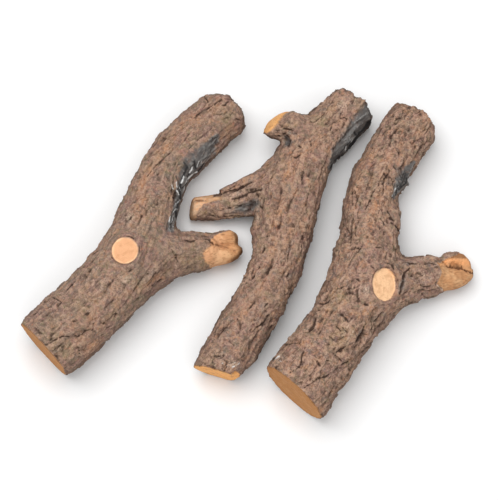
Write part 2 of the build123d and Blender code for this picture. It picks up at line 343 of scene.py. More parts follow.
def sample(field, grid, p):
    q = (p - grid.low) / grid.h
    lim = np.array(grid.shape) - 2
    i = np.clip(np.floor(q).astype(int), 0, lim)
    f = q - i
    v = 0.0
    for dx in (0, 1):
        wx = f[:, 0] if dx else 1 - f[:, 0]
        for dy in (0, 1):
            wy = f[:, 1] if dy else 1 - f[:, 1]
            for dz in (0, 1):
                wz = f[:, 2] if dz else 1 - f[:, 2]
                v = v + wx * wy * wz * field[i[:, 0] + dx, i[:, 1] + dy, i[:, 2] + dz]
    return v


def gradient(field, grid, p, e):
    g = np.stack([sample(field, grid, p + e * ax) - sample(field, grid, p - e * ax) for ax in np.eye(3)], 1) / (2 * e)
    return g


def mesh_of(field, grid):
    """The surface where the field is zero, as quads: one vertex in each crossed cell."""
    inside = field < 0
    ny, nz = grid.shape[1] - 1, grid.shape[2] - 1
    corners, places = [], []
    for axis in range(3):
        a = [slice(None)] * 3
        b = [slice(None)] * 3
        a[axis], b[axis] = slice(0, -1), slice(1, None)
        cross = inside[tuple(a)] != inside[tuple(b)]
        idx = np.argwhere(cross)
        if not len(idx):
            continue
        j = idx.copy()
        j[:, axis] += 1
        f0 = field[idx[:, 0], idx[:, 1], idx[:, 2]].astype(float)
        f1 = field[j[:, 0], j[:, 1], j[:, 2]].astype(float)
        place = idx.astype(float)
        place[:, axis] += f0 / (f0 - f1)
        o1, o2 = [(1, 2), (2, 0), (0, 1)][axis]
        ring = []
        for d1, d2 in ((-1, -1), (0, -1), (0, 0), (-1, 0)):
            c = idx.copy()
            c[:, o1] += d1
            c[:, o2] += d2
            ring.append((c[:, 0] * ny + c[:, 1]) * nz + c[:, 2])
        ring = np.stack(ring, 1)
        flip = f0 > 0
        ring[flip] = ring[flip][:, ::-1]
        corners.append(ring)
        places.append(place)
    corners = np.concatenate(corners)
    places = np.concatenate(places)
    names, inverse = np.unique(corners.ravel(), return_inverse=True)
    inverse = inverse.ravel()
    count = np.bincount(inverse)
    verts = np.stack([np.bincount(inverse, weights=np.repeat(places[:, k], 4)) / count for k in range(3)], 1)
    verts = grid.low + verts * grid.h
    return verts, inverse.reshape(-1, 4)


def edges_of(quads):
    e = np.concatenate([quads[:, [0, 1]], quads[:, [1, 2]], quads[:, [2, 3]], quads[:, [3, 0]]])
    e.sort(axis=1)
    key = e[:, 0].astype(np.int64) * (quads.max() + 1) + e[:, 1]
    _, first = np.unique(key, return_index=True)
    return e[first]


def spread(values, edges, times, amount=1.0):
    """The values averaged with their neighbours' along the mesh, a number of times."""
    n = len(values)
    count = np.bincount(edges.ravel(), minlength=n)
    v = values.astype(float)
    for _ in range(times):
        if v.ndim == 1:
            s = np.bincount(edges[:, 0], weights=v[edges[:, 1]], minlength=n) + np.bincount(edges[:, 1], weights=v[edges[:, 0]], minlength=n)
            v = v + amount * (s / np.maximum(count, 1) - v)
        else:
            s = np.stack([np.bincount(edges[:, 0], weights=v[edges[:, 1], k], minlength=n)
                          + np.bincount(edges[:, 1], weights=v[edges[:, 0], k], minlength=n) for k in range(v.shape[1])], 1)
            v = v + amount * (s / np.maximum(count, 1)[:, None] - v)
    return v


def mesh_normals(verts, quads):
    a = verts[quads[:, 2]] - verts[quads[:, 0]]
    b = verts[quads[:, 3]] - verts[quads[:, 1]]
    n = np.cross(a, b)
    out = np.zeros_like(verts)
    for k in range(4):
        for c in range(3):
            out[:, c] += np.bincount(quads[:, k], weights=n[:, c], minlength=len(verts))
    return out / np.maximum(np.linalg.norm(out, axis=1, keepdims=True), 1e-12)


# ----------------------------------------------------------------------- bark
def bark(q, style, seed):
    """Height of the bark over the limb's mean surface in mm, and its paint: how
    deep in a crack, how much of a warm streak, and the fine grain. q is along the
    grain first, in mm."""
    fine = style["fine"]
    q = q + 7.0 * np.stack([noise(q / (50.0, 27.0, 27.0), seed + k) for k in (1, 2, 3)], 1)
    q = q + 3.6 * np.stack([noise(q / (16.0, 13.0, 13.0), seed + k) for k in (21, 22, 23)], 1)
    q = q + 1.5 * np.stack([noise(q / (6.4, 5.2, 5.2), seed + k) for k in (24, 25, 26)], 1)
    lump = fbm(q / (90.0, 38.0, 38.0), 2, seed + 4)
    swell = noise(q / (25.0, 17.0, 17.0), seed + 5)
    a1 = noise(q * fine / (88.0, 21.0, 21.0), seed + 6)
    a2 = noise(q * fine / (17.0, 11.5, 11.5), seed + 7)
    a3 = noise(q * fine / (8.2, 6.2, 6.2), seed + 8)
    a4 = noise(q * fine / (4.4, 3.8, 3.8), seed + 17)
    m1 = ramp(-0.05, 0.45, noise(q / (70.0, 30.0, 30.0), seed + 9))
    m2 = ramp(-0.25, 0.40, noise(q / (30.0, 22.0, 22.0), seed + 10))
    plate = np.tanh(np.abs(a1) * 4.5) - 0.75
    knob = (np.tanh(np.abs(a2) * 4.0) - 0.75) * m1 + 0.95 * a2 * (1 - 0.5 * m1)
    crumb = (np.tanh(np.abs(a3) * 3.6) - 0.75) * m2 * m1 + 0.95 * a3 * (1 - 0.5 * m1)
    t = fbm(q * fine / (34.0, 17.0, 17.0), 2, seed + 11) * 3.0
    f = t - np.floor(t)
    shelf = ramp(0.0, 0.80, f) - ramp(0.84, 1.0, f) - 0.4
    near, _, mark = cells(q * fine / (15.0, 10.0, 10.0), seed + 12)
    m3 = ramp(-0.45, 0.40, noise(q / (48.0, 27.0, 27.0), seed + 14))
    near = near + 0.22 * a3
    pit = (mark < style["pits"]) * ramp(0.38, 0.08, near)
    nib = (mark > 1.0 - style["nibs"]) * ramp(0.36, 0.05, near)
    grain = fbm(q * fine / (4.6, 2.7, 2.7), 2, seed + 13)
    rib = noise(q * fine / (52.0, 6.8, 6.8), seed + 18)
    m4 = ramp(-0.30, 0.35, noise(q / (75.0, 26.0, 26.0), seed + 19))
    height = (1.9 * lump + 1.7 * swell + 1.7 * plate * (0.15 + 0.85 * m1) + 1.25 * knob * (0.35 + 0.65 * m2)
              + 1.08 * crumb * (0.35 + 0.75 * m3) + 1.25 * shelf * (0.3 + 0.7 * m2) + 0.68 * a4 * (0.30 + 0.75 * m3) + 0.50 * grain
              + 1.5 * rib * (0.2 + 0.8 * m4) - 1.8 * pit + 1.4 * nib) * style["relief"]
    crack = (0.50 * np.exp(-(a1 / 0.07) ** 2) * m1 * (0.3 + 0.7 * m2) + 0.14 * np.exp(-(a2 / 0.08) ** 2) * m2 * m1
             + 0.16 * ramp(0.85, 0.97, f) * m2 + 0.40 * pit + 0.18 * ramp(-0.25, -0.72, a4 + 0.6 * a3) * (0.15 + 0.85 * m3)
             + 0.26 * ramp(-0.20, -0.62, rib) * m4)
    streak = fbm(q / (50.0, 12.0, 12.0), 3, seed + 15) + 0.2 * fbm(q / (14.0, 5.0, 5.0), 2, seed + 16) + 0.22 * rib
    return height, np.clip(crack, 0.0, 1.0), streak, grain


STYLES = {
    "left": {"fine": 1.0, "pits": 0.012, "nibs": 0.06, "relief": 1.02},
    "centre": {"fine": 1.15, "pits": 0.015, "nibs": 0.08, "relief": 1.14},
    "right": {"fine": 0.92, "pits": 0.02, "nibs": 0.08, "relief": 1.40},
}

# --------------------------------------------- marks drawn in the frame
# Cracks: points, half width, depth in mm, how dark. A few of them also darken slits and undersides as painted shade.
CRACKS = {
    "left": [
        ([(67, 290), (70, 286), (75, 282)], 1.6, 1.8, 0.9),
        ([(50, 296), (56, 299), (61, 302)], 1.1, 1.4, 0.9),
        ([(45, 345), (52, 342), (58, 338), (64, 336), (69, 337)], 1.0, 1.5, 1.0),
        ([(73, 334), (78, 337), (83, 334), (87, 330)], 1.0, 1.3, 0.9),
        ([(72, 321), (77, 321)], 1.5, 1.3, 0.9),
        ([(84, 316), (91, 312)], 2.0, 1.2, 0.7),
        ([(105, 309), (109, 304), (114, 299)], 2.4, 1.4, 0.75),
        ([(102, 323), (107, 324)], 1.7, 1.0, 0.7),
        ([(115, 317), (117, 312)], 1.4, 1.1, 0.7),
        ([(89, 284), (92, 282)], 1.5, 1.0, 0.7),
        ([(85, 279), (88, 277)], 1.5, 1.0, 0.7),
        ([(124, 288), (126, 284)], 1.8, 1.3, 0.8),
        ([(129, 272), (134, 268)], 1.9, 1.2, 0.75),
        ([(158, 281), (161, 280)], 1.3, 1.3, 1.0),
        ([(149, 286), (152, 285)], 1.2, 1.0, 0.8),
        ([(60, 320), (63, 321)], 1.0, 0.8, 0.8),
        ([(37, 330), (42, 334)], 1.6, 1.0, 0.6),
        ([(53, 343), (55, 349), (52, 351)], 0.9, 0.9, 0.8),
        ([(78, 347), (79, 353)], 1.0, 0.8, 0.7),
        ([(103, 325), (122, 306), (144, 277), (166, 259)], 1.2, 1.2, 0.45),
        ([(122, 312), (145, 293), (166, 276)], 1.0, 0.8, 0.4),
        ([(171, 152), (163, 158), (155, 166), (147, 177)], 1.1, 1.3, 0.7),
        ([(142, 181), (136, 192), (131, 204)], 0.9, 0.8, 0.4),
        ([(192, 131), (187, 137), (182, 144)], 1.0, 1.1, 0.7),
        ([(179, 125), (183, 122)], 1.0, 1.0, 0.9),
        ([(203, 95), (207, 100), (210, 104)], 1.0, 1.2, 0.8),
        ([(222, 106), (227, 104)], 1.2, 1.2, 0.8),
        ([(223, 119), (230, 117)], 1.8, 1.0, 0.6),
        ([(236, 119), (240, 120)], 1.3, 1.4, 0.9),
        ([(160, 172), (156, 176)], 1.1, 0.9, 0.6),
        ([(212, 128), (200, 138), (188, 150)], 1.0, 1.0, 0.5),
        ([(150, 195), (143, 212), (139, 226)], 0.9, 0.7, 0.35),
        ([(184, 239), (191, 241), (198, 239)], 1.3, 1.2, 0.8),
        ([(172, 250), (176, 256), (178, 262)], 1.5, 1.1, 0.7),
        ([(167, 262), (162, 268)], 1.4, 1.1, 0.7),
        ([(178, 268), (184, 266)], 1.3, 1.1, 0.7),
        ([(206, 238), (211, 241), (215, 244)], 1.3, 1.6, 0.95),
        ([(213, 243), (222, 245), (230, 247)], 0.7, 0.7, 0.55),
    ],
    "centre": [
        ([(341, 113), (343, 117), (347, 119), (346, 123)], 0.9, 1.4, 0.9),
        ([(325, 123), (331, 124), (337, 121)], 0.9, 1.3, 0.9),
        ([(332, 125), (330, 131)], 0.8, 1.1, 0.8),
        # these two marks darken the hollow under the stub: painted shade over a real dent
        ([(285, 135), (287, 140), (288, 145)], 4.6, 3.4, 0.5), ([(283, 134), (288, 137), (290, 142)], 1.3, 1.2, 0.7),
        ([(299, 146), (301, 148)], 1.5, 1.5, 0.9),
        ([(309, 139), (311, 143), (312, 148)], 1.2, 1.4, 0.8),
        # this mark and the next are painted shadow along the stub's underside, over shallow grooves
        ([(277, 131), (284, 129), (292, 130), (297, 134)], 0.9, 1.3, 0.85),
        ([(273, 135), (281, 137)], 1.0, 1.0, 0.7),
        ([(300, 155), (296, 158), (291, 157)], 1.2, 1.3, 0.8),
        ([(352, 109), (346, 120), (340, 133), (334, 148), (331, 160)], 1.0, 0.9, 0.45),
        ([(354, 96), (354, 100), (352, 104)], 1.3, 1.5, 0.6),
        ([(253, 192), (256, 193), (258, 197)], 2.2, 1.9, 0.9),
        ([(247, 197), (250, 203), (249, 211)], 4.2, 2.2, 0.42), ([(249, 198), (251, 204), (250, 210)], 1.2, 1.2, 0.5),
        ([(260, 206), (261, 208)], 1.5, 1.5, 0.9),
        ([(261, 198), (263, 200)], 1.2, 1.2, 0.8),
        ([(233, 200), (235, 201)], 1.0, 1.0, 0.9),
        ([(228, 208), (230, 209)], 1.0, 1.0, 0.8),
        ([(222, 209), (225, 210)], 0.9, 0.8, 0.7),
        ([(194, 200), (200, 200), (207, 200)], 0.7, 1.3, 1.0),
        ([(221, 194), (229, 191), (237, 189.5), (244, 186), (251, 182)], 1.3, 2.4, 0.95),
        ([(224, 190.5), (234, 187), (244, 182)], 0.7, 1.0, 0.6),
        # this mark digs a groove under the bark flap and darkens it as painted shadow
        ([(232, 199), (241, 197), (249, 192.5), (256, 190), (262, 189.5)], 1.7, 2.6, 0.95),
        ([(246, 190), (251, 189), (256, 187.5)], 1.3, 1.6, 0.9),
        ([(212, 217.5), (224, 217), (238, 216), (249, 216.5)], 1.0, 0.8, 0.6),
        ([(311, 171), (309, 177)], 1.0, 0.9, 0.6),
        ([(262, 262), (258, 270)], 1.1, 1.2, 0.7),
        ([(268, 232), (266, 239)], 1.0, 0.9, 0.6),
        ([(300, 186), (297, 198), (295, 209)], 1.0, 1.0, 0.5),
        ([(313, 178), (308, 196), (305, 214)], 1.0, 0.9, 0.5),
        ([(296, 225), (291, 243), (287, 262)], 1.1, 1.1, 0.55),
        ([(286, 270), (280, 282), (274, 292)], 1.0, 1.0, 0.5),
        ([(265, 245), (262, 254)], 1.4, 1.1, 0.6),
        ([(255, 301), (249, 309)], 1.3, 1.1, 0.6),
        ([(268, 303), (265, 306)], 1.4, 1.1, 0.8),
        ([(263, 319), (262, 325)], 1.2, 1.0, 0.6),
        ([(237, 318), (241, 325)], 1.2, 1.0, 0.6),
        ([(229, 341), (234, 346)], 1.4, 1.1, 0.6),
        ([(213, 353), (217, 357), (222, 355)], 1.3, 1.2, 0.7),
        ([(240, 358), (246, 355)], 1.2, 1.0, 0.6),
    ],
    "right": [
        ([(291, 373), (298, 369), (301, 364), (302, 355), (306, 347)], 0.9, 1.5, 0.85),
        ([(283, 345), (291, 343), (299, 344), (305, 341)], 1.0, 1.3, 0.7),
        ([(304, 388), (311, 383), (315, 381), (320, 378), (326, 377), (331, 373)], 1.1, 1.6, 0.9),
        ([(314, 359), (317, 362), (320, 366)], 1.2, 1.7, 0.95),
        ([(326, 361), (329, 361)], 1.2, 1.4, 0.9),
        ([(337, 352), (341, 350), (345, 347)], 1.7, 2.0, 0.95),
        ([(357, 342), (361, 337), (365, 330)], 2.6, 3.2, 1.0),
        ([(309, 331), (314, 326), (317, 319)], 1.6, 2.2, 1.0),
        ([(320, 304), (326, 303), (334, 299)], 1.5, 2.0, 0.95),
        ([(357, 279), (359, 280)], 1.7, 1.8, 1.0),
        ([(336, 290), (341, 288), (347, 285)], 0.9, 1.1, 0.7),
        ([(350, 290), (356, 287), (361, 284)], 0.9, 1.1, 0.7),
        ([(371, 266), (374, 269)], 1.0, 1.3, 0.9),
        ([(386, 263), (391, 266), (394, 270)], 1.3, 1.5, 0.85),
        # this long dark slit beside the knot's collar is painted shadow over a real groove
        ([(400, 294), (402, 284), (404, 274), (409, 269)], 2.0, 2.4, 0.9),
        ([(406, 263), (410, 264), (416, 265)], 2.0, 2.0, 0.9),
        ([(424, 264), (431, 263), (437, 265)], 1.2, 1.2, 0.7),
        ([(355, 247), (359, 248)], 1.6, 1.3, 0.85),
        ([(375, 248), (381, 248)], 1.2, 1.3, 0.8),
        ([(363, 245), (355, 256), (347, 268)], 1.1, 1.2, 0.55),
        ([(337, 312), (343, 315), (349, 322), (352, 318)], 1.5, 1.7, 0.8),
        ([(362, 303), (368, 305)], 1.4, 1.5, 0.85),
        ([(387, 300), (391, 297)], 1.1, 1.2, 0.8),
        ([(374, 309), (369, 320), (364, 330)], 1.2, 1.4, 0.65),
        ([(384, 308), (377, 320), (371, 333)], 1.1, 1.3, 0.6),
        ([(397, 306), (388, 317), (380, 327)], 0.9, 1.0, 0.5),
        ([(339, 340), (347, 330), (351, 322)], 0.7, 0.6, 0.3),
        ([(345, 345), (351, 337)], 0.7, 0.6, 0.3),
        ([(349, 362), (340, 366)], 1.1, 1.2, 0.7),
        ([(336, 325.5), (341.5, 331.5)], 0.9, 1.6, 0.7), ([(332, 330), (338, 336.5)], 0.9, 1.6, 0.7),
        ([(328.5, 336), (336.5, 341.5)], 0.9, 1.6, 0.7), ([(325, 341.5), (333, 346.5)], 0.9, 1.4, 0.6),
        ([(342, 326.5), (347, 333)], 0.9, 1.4, 0.6), ([(330, 351), (337, 356), (342, 361)], 1.0, 1.4, 0.7),
        ([(385, 172), (380, 180), (378, 186), (372, 193), (369, 201), (365, 209)], 1.0, 1.6, 0.8),
        ([(384, 173), (386, 174)], 1.7, 2.0, 1.0),
        ([(394, 122), (396, 124)], 1.3, 1.4, 0.9),
        ([(390, 128), (391, 130)], 1.3, 1.4, 0.9),
        ([(415, 145), (416, 148)], 1.2, 1.2, 0.8),
        ([(398, 151), (400, 154)], 1.1, 1.2, 0.8),
        ([(371, 147), (372, 149)], 1.0, 1.0, 0.7),
        ([(382, 147), (383, 149)], 1.0, 1.0, 0.7),
        ([(393, 166), (396, 169)], 1.1, 1.2, 0.8),
        ([(392, 116), (396, 118), (401, 117)], 1.0, 1.9, 1.0),
        ([(402, 108), (403, 113), (400, 116)], 0.9, 1.3, 0.7),
        ([(420, 108), (420, 114), (418, 120)], 0.9, 1.3, 0.7),
        ([(424, 139), (420, 149), (414, 158)], 1.3, 1.1, 0.5),
        ([(389, 211), (391, 217), (393, 222)], 1.0, 1.6, 0.85),
        ([(396, 211), (398, 216), (399, 221)], 1.1, 1.8, 0.95),
        ([(391, 223), (395, 227), (399, 231)], 1.2, 1.8, 0.95),
        ([(380, 218), (383, 222), (386, 226)], 1.1, 1.5, 0.85),
        ([(353, 219), (356, 228), (355, 238)], 1.2, 1.2, 0.5),
        ([(360, 201), (357, 214), (359, 227)], 1.0, 0.9, 0.4),
        ([(346, 228), (349, 233), (345, 238)], 1.4, 1.4, 0.6),
        ([(448, 266), (454, 266.5), (461, 267.5), (468, 270)], 1.1, 1.4, 1.0),
        ([(456, 264.5), (459, 268)], 1.0, 0.9, 0.8), ([(461, 265), (463, 269)], 0.9, 0.9, 0.8),
        ([(420, 285), (427, 288)], 1.2, 1.1, 0.6),
        ([(411, 277), (417, 273), (423, 276)], 1.5, 1.4, 0.65),
        ([(414, 292), (421, 290), (430, 291)], 1.0, 1.2, 0.6),
        ([(433, 275), (437, 279), (436, 285)], 1.0, 1.3, 0.7),
    ],
}

# Paint patches: centre, half length, half width, direction in degrees, strength.
# warm: orange tan, olive: greenish grey, pale: worn and light, and in places a painted highlight,
# char: scorched, and in places painted shade in a hollow, mauve: bare base coat.
PATCHES = {
    "left": [
        ("char", 222, 129, 8, 3, 50, 0.30), ("char", 177, 172, 7, 4, 60, 0.35), ("olive", 203, 258, 7, 9, 80, 0.8),
        ("olive", 196, 250, 9, 7, 10, 0.5), ("olive", 227, 118, 9, 5, 30, 0.7), ("olive", 52, 332, 11, 7, 45, 0.5), ("olive", 80, 301, 13, 7, 50, 0.55),
        ("olive", 62, 350, 10, 7, 40, 0.5), ("olive", 187, 262, 14, 9, 10, 0.5), ("olive", 113, 309, 10, 6, 50, 0.4),
        ("warm", 145, 178, 16, 4, 62, 0.85), ("warm", 168, 146, 14, 4, 52, 0.75), ("warm", 141, 205, 15, 6, 75, 0.7),
        ("warm", 190, 122, 12, 6, 45, 0.5), ("warm", 91, 346, 9, 4, 45, 0.9), ("warm", 92, 316, 7, 3, 50, 0.6),
        ("warm", 150, 282, 16, 3, 35, 0.55), ("warm", 82, 337, 12, 4, 45, 0.3), ("warm", 216, 105, 9, 6, 40, 0.45),
        ("warm", 230, 130, 8, 5, 50, 0.4), ("mauve", 62, 330, 14, 7, 45, 0.5), ("mauve", 147, 255, 9, 7, 50, 0.5),
        ("mauve", 76, 326, 9, 6, 40, 0.5), ("pale", 129, 218, 6, 4, 60, 0.5), ("pale", 125, 280, 6, 5, 0, 0.4),
    ],
    "centre": [
        # the first char patch here darkens the hollow under the stub: painted shade, not scorch
        ("char", 287, 141, 6, 4.0, 80, 0.95), ("char", 250, 229, 9, 2.6, 85, 0.7), ("char", 234, 211, 13, 6, 5, 0.42),
        ("mauve", 215, 210, 12, 7, 8, 0.7),
        # the pale streak at (232, 196) on this line is a painted highlight along the flap's ridge
        ("olive", 226, 205, 9, 3, 5, 0.5), ("olive", 203, 213, 4, 5, 80, 0.7), ("pale", 232, 196, 9, 1.6, 24, 0.5),
        ("pale", 256, 220, 4, 3.5, 20, 0.55),
        ("olive", 320, 119, 9, 4, 15, 0.8), ("olive", 337, 106, 8, 4, 40, 0.4), ("olive", 292, 126, 8, 4, 0, 0.4),
        ("olive", 212, 212, 9, 4, 10, 0.4), ("olive", 262, 246, 10, 5, 70, 0.4),
        ("warm", 279, 214, 14, 5, 70, 0.95), ("warm", 292, 167, 14, 6, 60, 0.7), ("warm", 305, 152, 10, 5, 45, 0.5),
        ("warm", 333, 107, 10, 3, 45, 0.6), ("warm", 273, 244, 13, 4, 75, 0.6), ("warm", 288, 238, 12, 3, 72, 0.6),
        ("warm", 262, 283, 14, 4, 62, 0.5), ("warm", 245, 312, 12, 5, 62, 0.55), ("warm", 270, 286, 9, 3, 60, 0.5),
        ("warm", 316, 141, 12, 4, 55, 0.55), ("warm", 340, 121, 8, 4, 50, 0.4), ("warm", 236, 187, 14, 2.4, 25, 0.6),
        ("pale", 343, 104, 7, 5, 45, 0.5), ("pale", 234, 365, 7, 2.5, -8, 0.8), ("pale", 224, 357, 8, 3, -20, 0.3),
        ("mauve", 303, 179, 14, 5, 70, 0.5), ("mauve", 230, 333, 12, 8, 60, 0.5), ("mauve", 255, 322, 12, 6, 60, 0.5),
    ],
    "right": [
        # the char patch at (402, 284) on this line is painted shadow in the slit beside the knot, not scorch
        ("char", 401, 183, 10, 5, 60, 0.9), ("char", 398, 170, 8, 4, 60, 0.4), ("char", 402, 284, 10, 3.5, 75, 0.7),
        ("char", 410, 264, 6, 3, 0, 0.6), ("char", 361, 336, 7, 3, 60, 0.6),
        ("olive", 341, 336, 13, 8, 60, 0.75), ("olive", 425, 158, 5, 3, 60, 0.4), ("olive", 341, 296, 9, 8, 40, 0.5),
        ("olive", 352, 330, 9, 6, 60, 0.4), ("olive", 372, 190, 9, 3, 70, 0.4), ("olive", 405, 125, 7, 5, 40, 0.3),
        ("warm", 376, 205, 16, 4, 72, 0.9), ("warm", 370, 224, 14, 4, 85, 0.8), ("warm", 358, 186, 13, 4, 66, 0.6),
        ("warm", 366, 160, 12, 4, 58, 0.55), ("warm", 418, 135, 10, 3, 60, 0.7), ("warm", 400, 146, 11, 4, 55, 0.5),
        ("warm", 388, 158, 10, 5, 55, 0.45), ("warm", 428, 117, 7, 3, -50, 0.6), ("warm", 325, 316, 15, 3, 55, 0.65),
        ("warm", 341, 337, 12, 7, 60, 0.55), ("warm", 316, 362, 10, 4, 45, 0.5), ("warm", 369, 318, 10, 3, 62, 0.35),
        ("warm", 352, 370, 10, 2.5, 60, 0.5), ("warm", 341, 302, 8, 3, 60, 0.4), ("warm", 410, 110, 9, 4, -10, 0.4),
        ("pale", 365, 290, 5, 4, 0, 0.6), ("pale", 279, 358, 4, 3, 40, 0.9), ("pale", 425, 280, 8, 5, 10, 0.35),
        ("pale", 420, 258, 8, 2.5, 0, 0.4), ("pale", 345, 331, 8, 1.2, 62, 0.6), ("pale", 350, 337, 8, 1.2, 62, 0.6),
        ("mauve", 372, 255, 13, 11, 40, 0.75), ("mauve", 330, 352, 14, 8, 55, 0.5), ("mauve", 400, 225, 9, 4, 80, 0.4),
        ("mauve", 358, 268, 10, 8, 50, 0.6), ("mauve", 325, 385, 14, 8, 55, 0.4),
    ],
}


# Scorched strips: (u, v, half width) along them.
SCORCH = {
    "left": [[(217, 136, 3), (209.5, 147, 7), (200, 157, 9.5), (191, 167, 10), (185, 178, 6.5), (180.5, 190, 4),
              (177, 205, 2.6), (173.5, 217, 3.6), (171, 229, 3.6)]],
    "centre": [[(368, 108, 5), (364, 119, 9), (356, 131, 9.5), (348, 141, 8.5), (340, 151, 8), (335, 159, 6),
                (331, 167, 4)],
               [(238, 210, 4), (246, 208, 6), (254, 204, 6)]],
    "right": [[(414, 162, 1.5), (408, 171, 4.5), (402, 181, 7), (397.5, 190, 4.5), (396, 197, 2)]],
}

# Flecks in the scorch, where ash is white and soot is black, and a few black marks elsewhere that are painted shade:
# points, half width, strength.
FLECKS = {
    "left": [
        ("ash", [(199, 161), (197, 167)], 0.8, 0.9), ("ash", [(192.5, 167), (190, 173)], 0.9, 1.0),
        ("ash", [(197, 171.5), (192, 175), (187.5, 179)], 0.9, 1.0), ("ash", [(184, 176.5), (181.5, 183)], 0.9, 1.0),
        ("ash", [(176.5, 182), (177.5, 188), (179.3, 195)], 1.1, 1.0), ("ash", [(172, 184), (174, 189)], 0.8, 0.8),
        ("ash", [(184.5, 186), (183.5, 192)], 0.7, 0.9), ("ash", [(186.5, 179), (184.5, 184)], 0.7, 0.8),
        ("ash", [(179, 200), (174.5, 208)], 0.6, 0.7), ("ash", [(172, 215), (176, 209)], 0.7, 0.9),
        ("ash", [(170, 216.5), (169.5, 221.5)], 0.7, 1.0), ("ash", [(174, 216), (172, 222)], 0.7, 0.9),
        ("ash", [(171, 225), (169, 229)], 0.6, 0.7), ("ash", [(202, 160), (200.5, 164)], 0.7, 0.7),
        ("ash", [(180, 186), (181, 191)], 0.5, 0.8), ("ash", [(175, 222), (173.5, 227)], 0.5, 0.7),
        ("black", [(194, 161.5), (195.5, 168)], 1.5, 0.8), ("black", [(188, 167), (185, 173), (182, 180)], 1.3, 0.95),
        ("black", [(184, 162), (187, 166)], 1.2, 0.7), ("black", [(181, 184), (180.5, 190), (180.2, 199)], 0.9, 0.95),
        ("black", [(204, 163.5), (200.5, 169), (196, 173)], 0.8, 0.9), ("black", [(178, 183), (176, 176)], 0.8, 0.7),
        ("black", [(186, 183), (182, 188)], 0.8, 0.9), ("black", [(178.5, 200), (177, 208)], 1.0, 0.8),
        ("black", [(175.5, 210), (176.5, 217)], 1.1, 1.0), ("black", [(172, 212), (170, 218)], 0.7, 0.8),
        ("black", [(173, 219), (170.5, 228)], 0.9, 0.7), ("black", [(168, 223), (167, 229)], 0.9, 0.6),
        ("black", [(190, 174), (187, 177)], 0.7, 0.8), ("black", [(174.5, 190), (176, 195)], 0.9, 0.6),
        # these two black marks are painted shade on the torn tip's rounded rim, not soot
        ("black", [(242.8, 248.5), (243.8, 252.5), (241.8, 256)], 1.5, 0.55), ("black", [(237.5, 258.8), (231, 262)], 0.8, 0.40),
    ],
    "centre": [
        ("ash", [(347, 146.5), (346, 151.5)], 0.9, 1.0), ("ash", [(353, 140), (352, 142.5)], 0.8, 1.0),
        ("ash", [(349.5, 138.5), (352, 136)], 0.6, 0.7), ("ash", [(341, 150), (338, 156)], 0.9, 0.3),
        ("ash", [(350, 130), (345, 137)], 0.7, 0.3), ("ash", [(357, 125), (347, 137)], 5.0, 0.40), ("black", [(241, 206.5), (254, 204)], 6.0, 0.46),
        ("ash", [(364, 118), (359, 123)], 0.6, 0.35),
        ("black", [(371.5, 121), (366, 128), (360, 134), (356, 139.5), (351, 147), (348, 152)], 1.6, 1.0),
        ("black", [(347, 153.5), (341, 158.5), (335, 163), (331, 168)], 1.1, 0.9),
        ("black", [(350, 141), (348, 145), (345, 148)], 1.0, 0.95), ("black", [(355.5, 133), (357.5, 137)], 1.5, 0.85),
        ("black", [(344, 150), (341, 153)], 0.8, 0.7), ("black", [(250, 222), (250.5, 233)], 1.3, 0.8),
        # this black mark is painted shade in the hollow under the stub, not soot
        ("black", [(284, 137), (288, 140), (288.5, 144)], 1.6, 0.6),
        ("ash", [(221.5, 362.4), (223, 364)], 0.8, 0.85), ("ash", [(227, 365.4), (228.6, 366.8)], 0.8, 0.75), ("ash", [(231.8, 366.8), (233.8, 366)], 1.0, 0.95),
        ("ash", [(233.6, 363), (235, 361.8)], 0.8, 0.85), ("ash", [(237.8, 364.2), (239.2, 362.6)], 0.9, 0.9), ("ash", [(218.2, 359.8), (219.4, 361)], 0.7, 0.7),
        ("black", [(214, 357), (222, 359), (229, 363.5), (236, 361)], 1.0, 0.55), ("black", [(241, 359.5), (243.5, 361.5)], 1.0, 0.7),
    ],
    "right": [
        ("ash", [(276.5, 359.5), (279.5, 357.5)], 1.6, 1.0), ("ash", [(280, 361), (282, 362.5)], 0.8, 0.7), ("black", [(273, 360.5), (275.5, 358)], 1.0, 0.8),
        ("ash", [(396, 188), (394.8, 196)], 0.9, 0.9), ("ash", [(399, 186), (398.5, 190)], 0.5, 0.6),
        ("black", [(398.2, 187), (397.5, 195)], 0.9, 1.0), ("black", [(405, 175), (399, 187)], 5.0, 0.56), ("black", [(407, 178), (403, 186), (400, 190)], 0.8, 0.9),
        ("black", [(395, 184), (394, 190)], 0.7, 0.6),
    ],
}


